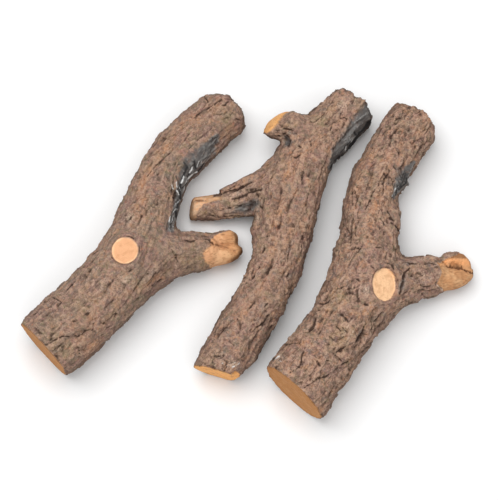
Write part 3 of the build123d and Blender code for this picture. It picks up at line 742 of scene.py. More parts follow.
# Where the outline swells or draws in: points, reach in pixels, mm outward.
OUTLINE = {
    "left": [
        ([(124.6, 192), (123.8, 196)], 2.4, 2.4), ([(88, 257.5), (90.5, 254.5)], 2.6, 1.8), ([(172, 120), (181, 112.5)], 4.0, 1.5),
        ([(133, 174), (128, 186)], 4.5, 1.1), ([(200, 98.5), (206, 94.5)], 4.0, 1.8), ([(236, 104), (240, 109)], 3.5, 1.3),
        ([(143, 302), (153, 294.5)], 4.0, 1.4), ([(56, 289), (67, 279.5)], 5.0, -2.2), ([(225, 95), (230, 98)], 3.0, -1.2),
        ([(244.6, 121), (243.5, 129)], 4.0, -1.5), ([(232, 142), (224, 149.5)], 4.0, -1.4), ([(212, 162), (201, 171)], 4.5, -1.3),
        ([(194, 177.5), (187, 186)], 4.0, -1.6), ([(176.5, 228), (180, 230)], 3.2, -2.2),
    ],
    "centre": [
        ([(306, 113.5), (311, 111)], 3.5, 1.6), ([(274, 153), (268, 160)], 4.0, 1.2), ([(216, 193), (214, 195)], 2.0, 0.6),
        ([(250.5, 221), (252.5, 229)], 2.4, 2.6), ([(233, 297), (228, 304)], 4.0, 1.2), ([(269, 338), (257.5, 358)], 5.0, 2.4),
        ([(200.5, 349), (198.5, 355)], 3.5, 1.3), ([(374, 114), (373.5, 121)], 3.0, 1.2), ([(264.5, 127), (266, 131.5)], 3.0, -1.6),
        ([(291, 111.5), (296, 112.5)], 3.0, -1.2), ([(321, 201), (318.5, 212)], 5.0, -1.2), ([(308, 251), (304, 263)], 5.0, -1.3),
        ([(240, 377.5), (237, 378.5)], 3.0, -1.4), ([(276, 113), (279, 112)], 3.0, 1.2),
    ],
    "right": [
        ([(377, 131), (372, 138)], 3.4, 2.2), ([(431, 119), (432.5, 125)], 3.4, 1.6), ([(335.5, 241), (334, 250)], 3.4, 1.6),
        ([(319, 291), (316.5, 298)], 3.6, 1.3), ([(392, 320), (377.5, 332.5)], 4.0, 2.2), ([(441, 294), (434, 296.5)], 3.4, 2.2),
        ([(428, 298), (418, 300.5)], 4.0, 1.4), ([(458, 251.5), (464, 254)], 3.4, 1.1), ([(470.8, 262), (472.5, 270)], 3.6, 1.2),
        ([(341.2, 216), (339.5, 232)], 5.0, -2.2), ([(421, 110), (427, 114.5)], 3.6, -1.8), ([(426, 151), (420, 161)], 4.0, -1.5),
        ([(399.5, 239), (400.5, 251)], 4.0, -1.8), ([(362, 357), (355, 370)], 5.0, -1.6), ([(339.5, 391), (334, 402)], 4.5, -2.2),
    ],
}


def polyline_distance(u, v, points):
    best = np.full(len(u), 1e9)
    for (u0, v0), (u1, v1) in zip(points[:-1], points[1:]):
        du, dv = u1 - u0, v1 - v0
        t = np.clip(((u - u0) * du + (v - v0) * dv) / max(du * du + dv * dv, 1e-9), 0, 1)
        best = np.minimum(best, np.hypot(u - u0 - t * du, v - v0 - t * dv))
    return best


def polyline_place(u, v, points):
    """How far along the polyline the nearest point is, 0 to 1."""
    lengths = [math.hypot(b[0] - a[0], b[1] - a[1]) for a, b in zip(points[:-1], points[1:])]
    total, run = sum(lengths), 0.0
    best = np.full(len(u), 1e9)
    place = np.zeros(len(u))
    for (u0, v0), (u1, v1), length in zip(points[:-1], points[1:], lengths):
        du, dv = u1 - u0, v1 - v0
        t = np.clip(((u - u0) * du + (v - v0) * dv) / max(du * du + dv * dv, 1e-9), 0, 1)
        d = np.hypot(u - u0 - t * du, v - v0 - t * dv)
        use = d < best
        best = np.where(use, d, best)
        place = np.where(use, (run + t * length) / total, place)
        run += length
    return best, place


# ----------------------------------------------------------------- the castings
KNOTS = {
    "left": (np.array([-149.4, -13.7, 84.3]), unit((-0.17, -0.04, 0.985)), 16.3, 1.0, 0.0),
    "right": (np.array([159.9, -53.4, 75.0]), unit((0.64, -0.10, 0.76)), 18.6, 1.07, 76.0),
}

LOGS = {
    "left": {
        "body": "left_log",
        "limbs": [
            Limb("trunk", LEFT_TRUNK, [((-247.7, -126.0, 41.0), (-0.7294, -0.6804, 0.01), 0.8),
                                       ((-18.6, 186.8, 30.0), (0.77, 0.64, 0.0), 15.0),
                                       ((-44.0, 197.2, 30.0), (0.0, 1.0, 0.0), 8.0),
                                       (tuple(at(65.0, 375.2, 25.0)), (0.08, -1.0, 0.0), 4.0)], seed=100),
            Limb("fillet", rail([(133.0, 288.6, 12.6, 30.0), (146.0, 283.0, 12.4, 30.0), (158.0, 276.0, 9.0, 28.0)]),
                 [], blend=9.0, seed=101, step=4.0),
            Limb("branch", LEFT_BRANCH, [((-12.0, 6.0, 17.0), (0.97, 0.10, 0.0), 6.0)], blend=17.0, seed=200),
            Limb("heartwood", rail([(196.0, 253.6, 13.4, 25.0), (208.0, 254.6, 12.6, 24.0), (218.0, 255.0, 11.0, 23.0),
                                    (227.0, 254.8, 9.2, 21.5), (233.4, 252.6, 7.6, 20.0), (236.4, 251.0, 6.2, 19.5)]),
                 [], blend=2.0, seed=230, step=3.0),
            Limb("bark_lobe", rail([(198.0, 241.0, 7.0, 26.0), (208.0, 241.0, 6.0, 28.0), (216.0, 239.2, 7.4, 27.0),
                                     (224.0, 238.0, 7.8, 25.0), (230.2, 238.6, 8.4, 22.0), (231.2, 243.6, 6.2, 20.0)]),
                 [], blend=3.4, seed=260, step=3.0),
        ],
        "butt": (np.array([-247.7, -126.0, 41.0]), unit((-0.7294, -0.6804, 0.01))),
    },
    "centre": {
        "body": "centre_log",
        "limbs": [
            Limb("trunk", CENTRE_TRUNK, [((-44.2, -151.3, 29.0), (-0.278, -0.955, -0.06), 1.0),
                                         ((-3.6, -147.0, 29.0), (0.655, -0.755, 0.0), 8.0),
                                         ((132.6, 190.4, 30.0), (0.62, 0.785, 0.0), 5.0),
                                         ((147.0, 178.0, 30.0), (0.93, 0.36, 0.0), 6.0)], seed=300),
            Limb("branch", CENTRE_BRANCH, [((-73.8, 57.0, 14.0), (-0.97, 0.06, 0.22), 4.5)], blend=11.0, seed=400),
            Limb("stub", CENTRE_STUB, [((34.8, 157.4, 52.0), (-0.545, 0.625, 0.56), 1.2)], blend=9.0, seed=500),
            Limb("flap", rail([(216.0, 196.4, 3.6, 26.0), (229.0, 191.0, 5.2, 29.0), (243.0, 184.8, 6.0, 33.0),
                               (260.0, 176.2, 7.2, 38.0), (279.0, 162.4, 8.6, 38.0)]),
                 [(tuple(at(220.0, 192.0, 26.0)), (-0.98, -0.15, 0.10), 0.8)], blend=2.2, seed=430, step=3.0),
            Limb("lip", rail([(222.0, 200.2, 2.6, 31.0), (233.0, 196.6, 3.4, 33.5), (244.0, 191.6, 4.2, 37.0),
                              (258.0, 184.0, 6.0, 43.0)]), [], blend=2.0, seed=460, step=3.0),
        ],
        "butt": (np.array([-44.2, -151.3, 29.0]), unit((-0.278, -0.955, -0.06))),
    },
    "right": {
        "body": "right_log",
        "limbs": [
            Limb("trunk", RIGHT_TRUNK, [((52.26, -179.29, 43.0), (-0.673, -0.739, 0.04), 1.2),
                                        ((211.2, 176.2, 30.0), (0.45, 0.89, 0.05), 7.0),
                                        ((225.0, 160.0, 30.0), (0.93, 0.36, 0.05), 9.0)], seed=600),
            Limb("fillet", rail([(360.0, 326.4, 12.6, 30.0), (373.0, 316.6, 12.6, 30.0), (384.0, 308.0, 9.5, 28.0)]),
                 [], blend=9.0, seed=601, step=4.0),
            Limb("branch", RIGHT_BRANCH, [((270.0, -22.5, 17.0), (0.985, -0.12, 0.0), 6.0)], blend=17.0, seed=700),
            Limb("heartwood", rail([(428.0, 278.0, 14.8, 25.0), (441.0, 278.2, 13.4, 24.0), (452.0, 278.2, 12.1, 22.5),
                                    (459.4, 277.0, 10.3, 21.0), (465.6, 274.8, 8.2, 20.0)]),
                 [], blend=2.0, seed=730, step=3.0),
            Limb("bark_lobe", rail([(434.0, 264.0, 5.4, 26.0), (443.5, 261.6, 5.2, 26.0), (450.0, 259.9, 7.3, 25.0),
                                    (457.0, 260.3, 7.3, 23.0), (461.6, 263.0, 7.8, 21.0), (463.8, 268.0, 6.9, 20.0)]),
                 [], blend=1.0, seed=760, step=3.0),
        ],
        "butt": (np.array([52.26, -179.29, 43.0]), unit((-0.673, -0.739, 0.04))),
    },
}


def knot_frame(knot):
    centre, normal, radius, stretch, turn = knot
    a = unit(np.cross(np.array([0.0, 1.0, 0.0]), normal))
    b = np.cross(normal, a)
    return a, b


def casting(side):
    spec = LOGS[side]
    limbs = spec["limbs"]
    lows = np.min([np.min(l.rows[:, :3] - l.rows[:, 3:4], axis=0) for l in limbs], axis=0)
    highs = np.max([np.max(l.rows[:, :3] + l.rows[:, 3:4], axis=0) for l in limbs], axis=0)
    lows[2], highs[2] = -4.0, highs[2] + 2.0
    grid = Grid(lows - 4.0, highs + 4.0, VOXEL)
    field = None
    for limb in limbs:
        f = limb.field(grid)
        field = f if field is None else smooth_min(field, f, limb.blend)
    # the sawn knot: a stump with its flat top just proud of the bark
    if side in KNOTS:
        centre, normal, radius, stretch, turn = KNOTS[side]
        x = grid.x[:, None, None] - centre[0]
        y = grid.y[None, :, None] - centre[1]
        z = grid.z[None, None, :] - centre[2]
        high = x * normal[0] + y * normal[1] + z * normal[2]
        flat = np.sqrt(np.maximum(x * x + y * y + z * z - high * high, 0.0)).astype(np.float32)
        stump = np.maximum(flat - (radius + 2.6), -(high + 30.0)).astype(np.float32)
        stump = np.maximum(stump, (high - 0.4).astype(np.float32))
        field = smooth_min(field, stump, 9.0)
        core = np.maximum((high - 0.4).astype(np.float32), field)
        field = np.where(flat < radius + 1.2, core, field).astype(np.float32)
    if side == "centre":
        for (nu, nv), (mu, mv), wide, k in (((358.5, 85.0), (355.2, 97.0), 3.2, 1.5), ((333.0, 84.0), (333.5, 91.0), 2.6, 2.5),
((346.4, 82.0), (346.4, 90.2), 2.0, 1.5), ((372.0, 103.0), (368.4, 108.0), 2.2, 2.0)):
            a, b = at(nu, nv, 47.0), at(mu, mv, 47.0)
            ab = b - a
            x, y = grid.x[:, None] - a[0], grid.y[None, :] - a[1]
            t = np.clip((x * ab[0] + y * ab[1]) / float(ab[:2] @ ab[:2]), 0, 1)
            d = np.hypot(x - t * ab[0], y - t * ab[1]) - wide
            field = smooth_max(field, np.broadcast_to((-d)[:, :, None], field.shape).astype(np.float32), k)
    # the flat underside that it lies on
    field = smooth_max(field, np.broadcast_to((-grid.z)[None, None, :], field.shape).astype(np.float32), 2.0)
    verts, quads = mesh_of(field, grid)
    edges = edges_of(quads)
    for k in range(3):
        verts = verts + 0.55 * (spread(verts, edges, 1) - verts)
        g = gradient(field, grid, verts, 0.5 * VOXEL)
        verts = verts - (sample(field, grid, verts) / np.maximum(np.sum(g * g, 1), 0.3))[:, None] * g
    normals = gradient(field, grid, verts, 0.8)
    normals /= np.maximum(np.linalg.norm(normals, axis=1, keepdims=True), 1e-9)
    u, v = seen_at(verts)
    facing = -(normals @ FORWARD)
    shown = ramp(-0.15, 0.12, facing)

    n = len(verts)
    near = np.stack([l.coordinates(verts)[2] for l in limbs], 1)
    weights = np.exp(-np.clip(near - near.min(1, keepdims=True), 0, 60) / 2.2)
    weights /= weights.sum(1, keepdims=True)
    height = np.zeros(n)
    crack = np.zeros(n)
    streak = np.zeros(n)
    grain = np.zeros(n)
    info = {}
    for k, limb in enumerate(limbs):
        along, angle, dist, radius, out, stretch = limb.coordinates(verts)
        info[limb.name] = (along, angle, dist, radius, out, weights[:, k])
        on = weights[:, k] > 0.004
        h, c, s, g = limb.bark(verts[on], STYLES[side], along[on], angle[on], radius[on], stretch[on])
        height[on] += weights[on, k] * h
        crack[on] += weights[on, k] * c
        streak[on] += weights[on, k] * s
        grain[on] += weights[on, k] * g

    wood = np.zeros(n)       # bare wood, from 0 to 1
    tone = np.full(n, 0.5)   # 0 is pale peach, 0.5 ochre, 1 orange
    ring = np.zeros(n)       # place across a sawn face, in mm
    sawn = np.zeros(n)
    # dark edges and outlines of the bare wood, and painted shade where the wood turns away or rounds off
    dark_edge_and_shade = np.zeros(n)
    grime = np.zeros(n)
    place = verts.copy()

    # --- sawn butt
    bp, bn = spec["butt"]
    level = (verts - bp) @ bn
    along, angle, dist, radius, out, w = info["trunk"]
    on_butt = ramp(-0.9, -0.35, level) * (normals @ bn > 0.45)
    if side == "centre":
        on_butt = np.maximum(on_butt, ramp(-7.0, -5.0, level) * ramp(230.5, 232.5, u) * ramp(0.22, 0.36, normals @ bn) * ramp(378.0, 376.0, v - 0.35 * (u - 232.0) - 4.0) * shown)
    butt = on_butt
    # --- ragged bark round the butt, a little short of the face in places
    rim = np.exp(-(np.clip(-level, 0, 50) / 3.0) ** 2) * (1 - on_butt)

    # --- knot
    knot_disc = np.zeros(n)
    if side in KNOTS:
        centre, normal, kr, stretch, turn = KNOTS[side]
        a, b = knot_frame(KNOTS[side])
        rel = verts - centre
        ka, kb, kh = rel @ a, rel @ b, rel @ normal
        ca, sa = math.cos(math.radians(turn)), math.sin(math.radians(turn))
        la, lb = (ka * ca + kb * sa) / stretch, (-ka * sa + kb * ca)
        rho = np.hypot(la, lb)
        phi = np.arctan2(lb, la)
        wob = 0.3 * noise(np.stack([np.cos(phi) * 2.6, np.sin(phi) * 2.6, np.zeros(n)], 1), 77)
        rho = rho + wob
        on = (kh > -7.0)
        knot_disc = ramp(kr + 0.75, kr - 0.95, rho) * on
        groove = np.exp(-((rho - kr - 0.9) / 0.9) ** 2) * on
        groove *= np.clip(0.40 + 0.9 * noise(np.stack([np.cos(phi) * 1.6, np.sin(phi) * 1.6, np.zeros(n)], 1), 79), 0, 1)
        collar = np.exp(-((rho - kr - 5.5) / 3.8) ** 2) * on
        calm = ramp(kr + 13.0, kr + 2.0, rho) * on
        height = height * (1 - 0.55 * calm) + 1.1 * collar
        crack = np.clip(crack * (1 - 0.5 * calm) + 0.40 * np.clip(groove, 0, 1), 0, 1)
        height = height - 0.9 * np.clip(groove, 0, 1)
        fade = ramp(kr - 4.5, kr + 0.5, rho + 1.5 * noise(verts / 4.0, 78)) * ramp(0.1, 0.9, np.sin(phi + (0.9 if side == "left" else 0.2)))
        wood = np.maximum(wood, knot_disc * (1 - 0.55 * fade))
        tone = np.where(knot_disc > 0.01, np.clip((0.02 if side == "left" else -0.36) - 0.26 * ramp(kr - 3.5, kr - 0.8, rho) + 0.16 * noise(verts / 9.0, 76), -0.5, 0.3), tone)
        ring = np.where(knot_disc > 0.01, rho, ring)
        sawn = np.maximum(sawn, knot_disc)
        # a dark arc on one side of the knot's rim: painted shadow
        dark_edge_and_shade = np.maximum(dark_edge_and_shade, 0.30 * np.exp(-((rho - kr - 0.4) / 0.6) ** 2) * on * ramp(-0.5, 0.6, np.sin(phi + 3.9)))

    # --- bare tips of the side branches: torn wood below, bark folded over it above
    px = np.stack([u / 4.0, v / 4.0, np.zeros(n)], 1)
    if side in ("left", "right"):
        w = np.zeros(n)
        for name in ("branch", "heartwood", "bark_lobe"):
            w += info[name][5]
        rag = 1.5 * noise(px * 1.1, 810) + 0.8 * noise(px * 2.6, 811)
        if side == "left":
            split = np.interp(u, [205, 214, 226, 236, 244], [238.5, 243.0, 246.0, 250.0, 252.0])
            lower = np.interp(v, [240, 244, 247, 250, 254, 258, 262, 265, 270], [216, 212, 208.5, 205.5, 203.5, 204, 206, 209, 214])
            upper = np.interp(v, [228.5, 230.5, 233, 236, 239.5, 244], [236.0, 229.0, 220.0, 214.0, 211.0, 209.5])
        else:
            split = np.interp(u, [437, 441, 449, 456, 461, 467, 473], [262, 264, 266, 266.5, 267.5, 269.5, 272])
            lower = np.interp(v, [260, 264, 268, 275, 279, 283, 287, 291, 296], [437, 438, 441, 441.5, 438.5, 437, 440.5, 444.5, 447])
            upper = np.interp(v, [251.5, 255.5, 258.5, 262.5, 266], [462, 456, 447, 441, 438])
        reach = np.where(v > split, u - lower, u - upper) + rag
        # behind and below, where the photograph doesn't show it, a ring of the same raggedness
        behind = u - (209.0 if side == "left" else 442.0) + 2.4 * noise(verts / 9.0, 812)
        reach = reach * shown + behind * (1 - shown)
        bare = ramp(-0.45, 0.45, reach) * ramp(0.2, 0.5, w)
        lip = np.exp(-((reach + 1.6) / 1.3) ** 2) * ramp(0.2, 0.5, w)
        # the under mask darkens the wood just inside the bark lip: painted shadow under the lip
        under = np.exp(-((reach - 0.5) / 0.7) ** 2) * ramp(0.2, 0.5, w)
        wood_relief = 0.6 * fbm(verts / (24.0, 7.0, 7.0), 2, 820) + 0.18 * noise(verts / (7.0, 2.4, 2.4), 823)
        calm_tip = ramp(-11.0, -2.0, reach) * ramp(0.2, 0.5, w)
        height = np.where(height > 0.6, 0.6 + (height - 0.6) * (1 - 0.85 * calm_tip), height) * (1 - 0.45 * calm_tip)
        height = height * (1 - bare) + bare * (-0.5 + wood_relief) + 0.5 * lip * (1 - bare)
        crack = np.clip(crack * (1 - bare) + 0.30 * under * (0.4 if side == "left" else 1.0), 0, 1)
        if side == "left":
            # a torn groove, a brown ridge above it, a rough dark nub at the end, and painted shade along the rounded
            # right rim
            cleft = np.exp(-(polyline_distance(u, v, [(206, 241.5), (213, 244), (221, 246), (229, 247.6), (236, 250.5)])
                             / (2.1 + 0.7 * noise(px * 2.2, 814))) ** 2) * shown * ramp(0.2, 0.5, w)
            ridge = np.exp(-(polyline_distance(u, v, [(210, 240), (217, 241.5), (226, 242.5), (234, 243)]) / 2.2) ** 2) * shown * ramp(0.2, 0.5, w)
            nub = np.exp(-((u - 242.2) / 3.0) ** 2 - ((v - 251.8) / 5.4) ** 2) * shown * ramp(0.2, 0.5, w)
            dark_edge_and_shade = np.maximum(dark_edge_and_shade, 0.95 * nub)
            shaded_rim_distance = polyline_distance(u, v, [(235.0, 234.0), (236.8, 238.0), (237.0, 243.0), (240.6, 246.0), (242.2, 251.0), (239.0, 256.0), (233.0, 261.4)])
            dark_edge_and_shade = np.maximum(dark_edge_and_shade, 1.0 * np.exp(-(shaded_rim_distance / (2.1 + 0.9 * noise(px * 3.0, 826))) ** 2) * bare * shown)
            height += -1.7 * cleft + 0.9 * ridge + (0.7 + 1.2 * noise(verts / 2.6, 815)) * nub
            crack = np.clip(np.maximum(crack, 0.32 * cleft * (0.7 + 0.6 * noise(px * 2.0, 816))), 0, 1)
            crack = np.maximum(crack, np.clip((0.66 + 0.35 * noise(px * 2.4, 827)) * nub, 0, 0.9))
            crack = np.maximum(crack, np.clip((0.22 + 0.30 * noise(px * 2.0, 828)) * np.exp(-(shaded_rim_distance / 1.3) ** 2) * bare * shown, 0, 0.5))
            bare_soft = ramp(-4.0, 3.4, reach + 2.0 * noise(px * 1.7, 817)) * ramp(0.2, 0.5, w)
            bare_paint = np.where(v > split, bare_soft, bare)
            upper_lobe = bare * ramp(1.5, -1.5, v - split) * shown
            # brown patches on the upper lobe, and painted shade where it turns away
            dark_edge_and_shade = np.maximum(dark_edge_and_shade, upper_lobe * np.clip(-0.08 + 1.10 * noise(px * np.array((0.8, 2.3, 1.0)), 818), 0, 0.8) + 0.40 * ramp(0.60, 0.30, facing) * upper_lobe)
        else:
            cleft = np.exp(-(polyline_distance(u, v, [(447, 265.6), (454, 266.8), (461, 268.2), (468, 270.6), (473, 273)])
                             / (1.35 + 0.75 * noise(px * 4.5, 814))) ** 2) * shown * ramp(0.2, 0.5, w)
            crumbs = ramp(0.06, 0.36, noise(px * np.array((7.0, 5.6, 1.0)), 815)) * ramp(8.0, 2.5, np.abs(v - 261.0)) * ramp(438.5, 443.0, u) * ramp(470.0, 462.0, u) * shown
            broken = 0.30 + 0.70 * ramp(-0.35, 0.35, noise(px * np.array((2.1, 0.8, 1.0)), 822) + 0.4 * noise(px * 5.0, 823))
            height += -1.9 * cleft * broken - 0.5 * crumbs * bare
            crack = np.clip(np.maximum(crack, np.maximum(0.78 * cleft * broken, 0.38 * crumbs * bare)), 0, 1)
            upper_lobe = bare * ramp(1.5, -1.5, v - split) * shown
            dark_edge_and_shade = np.maximum(dark_edge_and_shade, upper_lobe * np.clip(-0.16 + 0.8 * noise(px * 2.0, 824), 0, 0.6))
            dark_edge_and_shade = np.maximum(dark_edge_and_shade, bare * ramp(-1.5, 1.5, v - split) * shown * np.clip(0.27 + 0.42 * noise(px * np.array((1.2, 2.4, 1.0)), 825), 0, 0.56))
            bare_paint = bare
        wood = np.maximum(wood, bare_paint * shown + bare * (1 - shown))
        tone = np.where((bare > 0.01) | (bare_paint > 0.01), (0.16 + 0.34 * ramp(214.0, 238.0, u) if side == "left"
                                      else 0.50 + 0.40 * ramp(268.0, 262.0, v)) + 0.10 * noise(px * 1.3, 819), tone)
        # painted shade: the rounded end and the parts turned away are darkened
        if side == "left":
            turned_away_shade = np.maximum(ramp(236.0, 240.5, u + 1.2 * noise(px * 2.0, 821)) * ramp(240.0, 246.0, v), 0.9 * ramp(0.45, 0.12, facing) * ramp(222.0, 234.0, u))
        else:
            turned_away_shade = np.maximum(ramp(0.55, 0.15, facing) * ramp(436.0, 452.0, u), ramp(260.0, 257.0, v + 1.2 * noise(px * 2.0, 821)))
        dark_edge_and_shade = np.maximum(dark_edge_and_shade, 0.9 * turned_away_shade * bare)
    if side == "centre":
        along, angle, dist, radius, out, w = info["branch"]
        q = np.stack([along, radius * np.cos(angle), radius * np.sin(angle)], 1)
        wood_relief = 0.35 * fbm(q / (30.0, 5.0, 5.0), 3, 830) + 0.2 * noise(q / (9.0, 1.8, 1.8), 833)
        # the end face, and the strip of bare wood along the far side's upper edge
        slant = np.interp(v, [198, 201, 206, 211, 216, 221], [208.0, 207.0, 201.5, 197.8, 195.8, 195.0])
        tipface = ramp(2.0, -1.8, u - slant + 1.9 * noise(px * 1.6, 834)) * ramp(0.3, 0.7, w)
        strip = ramp(204.3, 202.0, v + 0.16 * (u - 200.0) + 0.8 * noise(q / (9.0, 4.0, 4.0), 836)) * ramp(231.0, 224.0, u) * ramp(0.3, 0.7, w)
        strip = strip * (facing > -0.25)
        back = ramp(0.0, -0.3, facing) * ramp(44.0, 30.0, along.max() - along) * ramp(0.3, 0.7, w)
        bare = np.clip(np.maximum(np.maximum(tipface, strip), back), 0, 1)
        height = height * (1 - bare) + bare * (-0.9 + wood_relief)
        crack = crack * (1 - bare)
        wood = np.maximum(wood, bare)
        tone = np.where(bare > 0.01, np.where(strip > tipface, 0.40, 0.02 + 0.3 * noise(px * 1.4, 838)), tone)
        # the lower part of the end face is darkened: painted shade
        dark_edge_and_shade = np.maximum(dark_edge_and_shade, 0.75 * tipface * ramp(212.0, 219.0, v + 1.5 * noise(px * 1.5, 835)))
        dark_edge_and_shade = np.maximum(dark_edge_and_shade, 0.75 * strip * np.clip(0.22 + 1.1 * noise(q / (14.0, 2.2, 2.2), 837), 0, 1))
        dark_edge_and_shade = np.maximum(dark_edge_and_shade, 0.28 * tipface * np.clip(0.25 + 1.2 * noise(px * 2.2, 840), 0, 1) * ramp(203.0, 211.0, v))
        grime = np.clip(bare * (0.42 + 0.8 * noise(px * 1.9, 841) + 0.5 * noise(q / (16.0, 2.6, 2.6), 842)) + 0.5 * tipface * ramp(204.0, 214.0, v), 0, 1)
        # the stub's sawn face
        sp, sn = np.array([34.8, 157.4, 52.0]), unit((-0.545, 0.625, 0.56))
        lev = (verts - sp) @ sn
        on_stub = ramp(-1.0, -0.35, lev) * (normals @ sn > 0.45) * (info["stub"][5] > 0.5)
        inner = np.interp(v, [110, 112, 114, 118, 122, 126, 130, 134], [294, 291, 287.5, 283.5, 280, 277.4, 273.4, 268])
        on_stub = on_stub * ramp(0.7, -0.7, u - inner + 0.9 * noise(px * 2.0, 839))
        height = height * (1 - on_stub)
        crack = crack * (1 - on_stub)
        wood = np.maximum(wood, on_stub)
        sawn = np.maximum(sawn, on_stub)
        rel = verts - sp
        ring = np.where(on_stub > 0.01, np.linalg.norm(rel - (rel @ sn)[:, None] * sn, axis=1), ring)
        tone = np.where(on_stub > 0.01, 1.1, tone)
        strands = np.clip(info["flap"][5] + info["lip"][5], 0, 1) * shown
        fibres = noise(np.stack([(0.88 * u - 0.475 * v) / 15.0, (0.475 * u + 0.88 * v) / 1.7, np.zeros(n)], 1), 843)
        height = height * (1 - 0.66 * strands) + strands * (0.9 * fibres)
        crack = crack * (1 - 0.55 * strands) + 0.42 * strands * ramp(0.10, 0.50, -fibres)
        # broken end of the bark flap
        flap_end = ramp(0.3, 0.7, info["flap"][5]) * ramp(222.0, 220.6, u)
        crack = np.maximum(crack, 0.5 * flap_end * (facing < 0.6))

    # --- broken tops of the trunks: jagged, with chunks out of the rim
    along, angle, dist, radius, out, w = info["trunk"]
    end = along.max()
    top = ramp(26.0, 4.0, end - along) * ramp(0.4, 0.7, w)
    jag = fbm(verts / 13.0, 3, 900 + len(side)) * 2.6 + np.round(fbm(verts / 17.0, 2, 903 + len(side)) * 2.2) * 0.9
    height = height + top * jag * (1.25 if side == "centre" else 0.75)

    # --- marks drawn in the frame
    for points, half, depth, dark in CRACKS[side]:
        d, where = polyline_place(u, v, points)
        near_mark = d < 6.0 * half
        if not near_mark.any():
            continue
        wob = np.ones(n)
        gap = np.ones(n)
        q = np.stack([u[near_mark], v[near_mark], np.zeros(int(near_mark.sum()))], 1)
        wob[near_mark] = 1 + 0.5 * noise(q / 2.4, 950)
        gap[near_mark] = 0.50 + 0.50 * ramp(-0.35, 0.25, noise(q / 3.2, 951))
        taper = 0.50 + 0.50 * np.sin(np.clip(where, 0.02, 0.98) * math.pi)
        d = d + 0.7 * (1 - gap)
        prof = np.exp(-(d / (half * wob * taper)) ** 2) * shown * (wood < 0.5)
        prof = np.where(wood < 0.5, prof, np.exp(-(d / (half * taper)) ** 2) * shown)
        height -= 0.9 * depth * prof
        crack = np.clip(np.maximum(crack, dark * prof * (0.30 + 0.48 * gap)), 0, 1)
    if side == "right":
        dent = np.exp(-((u - 399.0) / 6.5) ** 2 - ((v - 198.0) / 9.0) ** 2)
        height -= 3.4 * dent
        lobe = np.exp(-((u - 401.0) / 7.0) ** 2 - ((v - 221.0) / 11.0) ** 2)
        height += 2.2 * lobe
        height -= 2.6 * np.exp(-(polyline_distance(u, v, [(410, 181), (421, 163), (431, 145)]) / 5.0) ** 2) * ramp(0.55, 0.15, facing)
    if side == "centre":
        ledge = np.interp(v, [98, 107, 113, 120, 130, 140, 148, 156, 165, 172], [368, 359.5, 356, 352, 346, 341, 333.5, 331, 330, 334])
        flank = ramp(-1.4, 1.8, u - ledge + 1.3 * noise(px * 1.5, 955) + 0.6 * noise(px * 4.0, 957)) * ramp(172.0, 158.0, v) * info["trunk"][5] * shown
        streaks = noise(np.stack([(u * 0.62 - v * -0.78) / 3.2, (u * 0.78 - v * 0.62) / 22.0, np.zeros(n)], 1), 956)
        height = height * (1 - 0.62 * flank) - flank * (1.3 - 1.1 * streaks)
        crack = crack * (1 - 0.6 * flank) + 0.30 * flank * ramp(0.15, 0.6, -streaks)
        dent = np.exp(-((u - 281.0) / 5.0) ** 2 - ((v - 143.0) / 4.0) ** 2)
        height -= 1.4 * dent
        for points, amount in (([(337, 165), (349, 152.5), (362, 138)], 1.8), ([(324, 192), (320, 214)], 1.8),
                               ([(279, 319), (272, 337)], 1.6), ([(293, 290), (287, 301)], 1.4), ([(334, 135), (321, 178)], 0.0)):
            height -= amount * np.exp(-(polyline_distance(u, v, points) / 5.0) ** 2) * ramp(0.55, 0.15, facing)
        height += 3.4 * np.exp(-(polyline_distance(u, v, [(250.5, 223), (251.5, 232)]) / 2.6) ** 2)

    for points, size, amount in OUTLINE[side]:
        height += amount * np.exp(-(polyline_distance(u, v, points) / size) ** 2) * ramp(0.66, 0.22, facing) * ramp(-0.75, -0.25, facing)

    # the faces are flat: their rim follows the bark beside it, their middle stays
    on_face = np.clip(np.maximum(butt, 0), 0, 1)
    saw_marks = 0.16 * noise(np.stack([verts[:, 0] / 9.0, verts[:, 1] / 9.0, verts[:, 2] / 1.5], 1), 960)
    wood = np.maximum(wood, butt)
    sawn = np.maximum(sawn, butt)
    # the centre's butt takes the brightest orange: partly its own colour, partly painted light on a face the lamps
    # leave dim
    tone = np.where(butt > 0.01, 0.9 if side == "centre" else 0.58, tone)
    rel = verts - bp
    flat = rel - (rel @ bn)[:, None] * bn
    ring = np.where(butt > 0.01, np.linalg.norm(flat, axis=1), ring)
    height = height - 0.9 * rim * ramp(-0.2, 0.6, noise(verts / 6.0, 961))
    crack = np.clip(crack + 0.55 * rim * ramp(-0.35, 0.5, noise(verts / 4.5, 962)), 0, 1)
    dark_edge_and_shade = np.maximum(dark_edge_and_shade, butt * ramp(-2.2, -0.3, info["trunk"][2]))

    # move the surface
    bark_height = np.clip(height, -6.0, 4.0)
    move = normals * (bark_height * (1 - np.clip(on_face + knot_disc, 0, 1)))[:, None]
    outward = info["trunk"][4]
    rim_share = ramp(-9.0, 0.0, info["trunk"][2])
    move += outward * (np.clip(height, -2.5, 2.0) * on_face * rim_share)[:, None]
    move += bn[None, :] * (saw_marks * on_face)[:, None]
    if side in KNOTS:
        kn = KNOTS[side][1]
        disc_marks = 0.12 * noise(np.stack([ka / 2.2, kb / 8.0, np.zeros(n)], 1), 970) - 0.55
        move += kn[None, :] * (disc_marks * knot_disc)[:, None]
    if side == "centre":
        move += sn[None, :] * (on_stub * 3.6 * np.clip(1 - (ring / 24.0) ** 2, 0, 1) + on_stub * 1.2)[:, None]
    place = verts + move
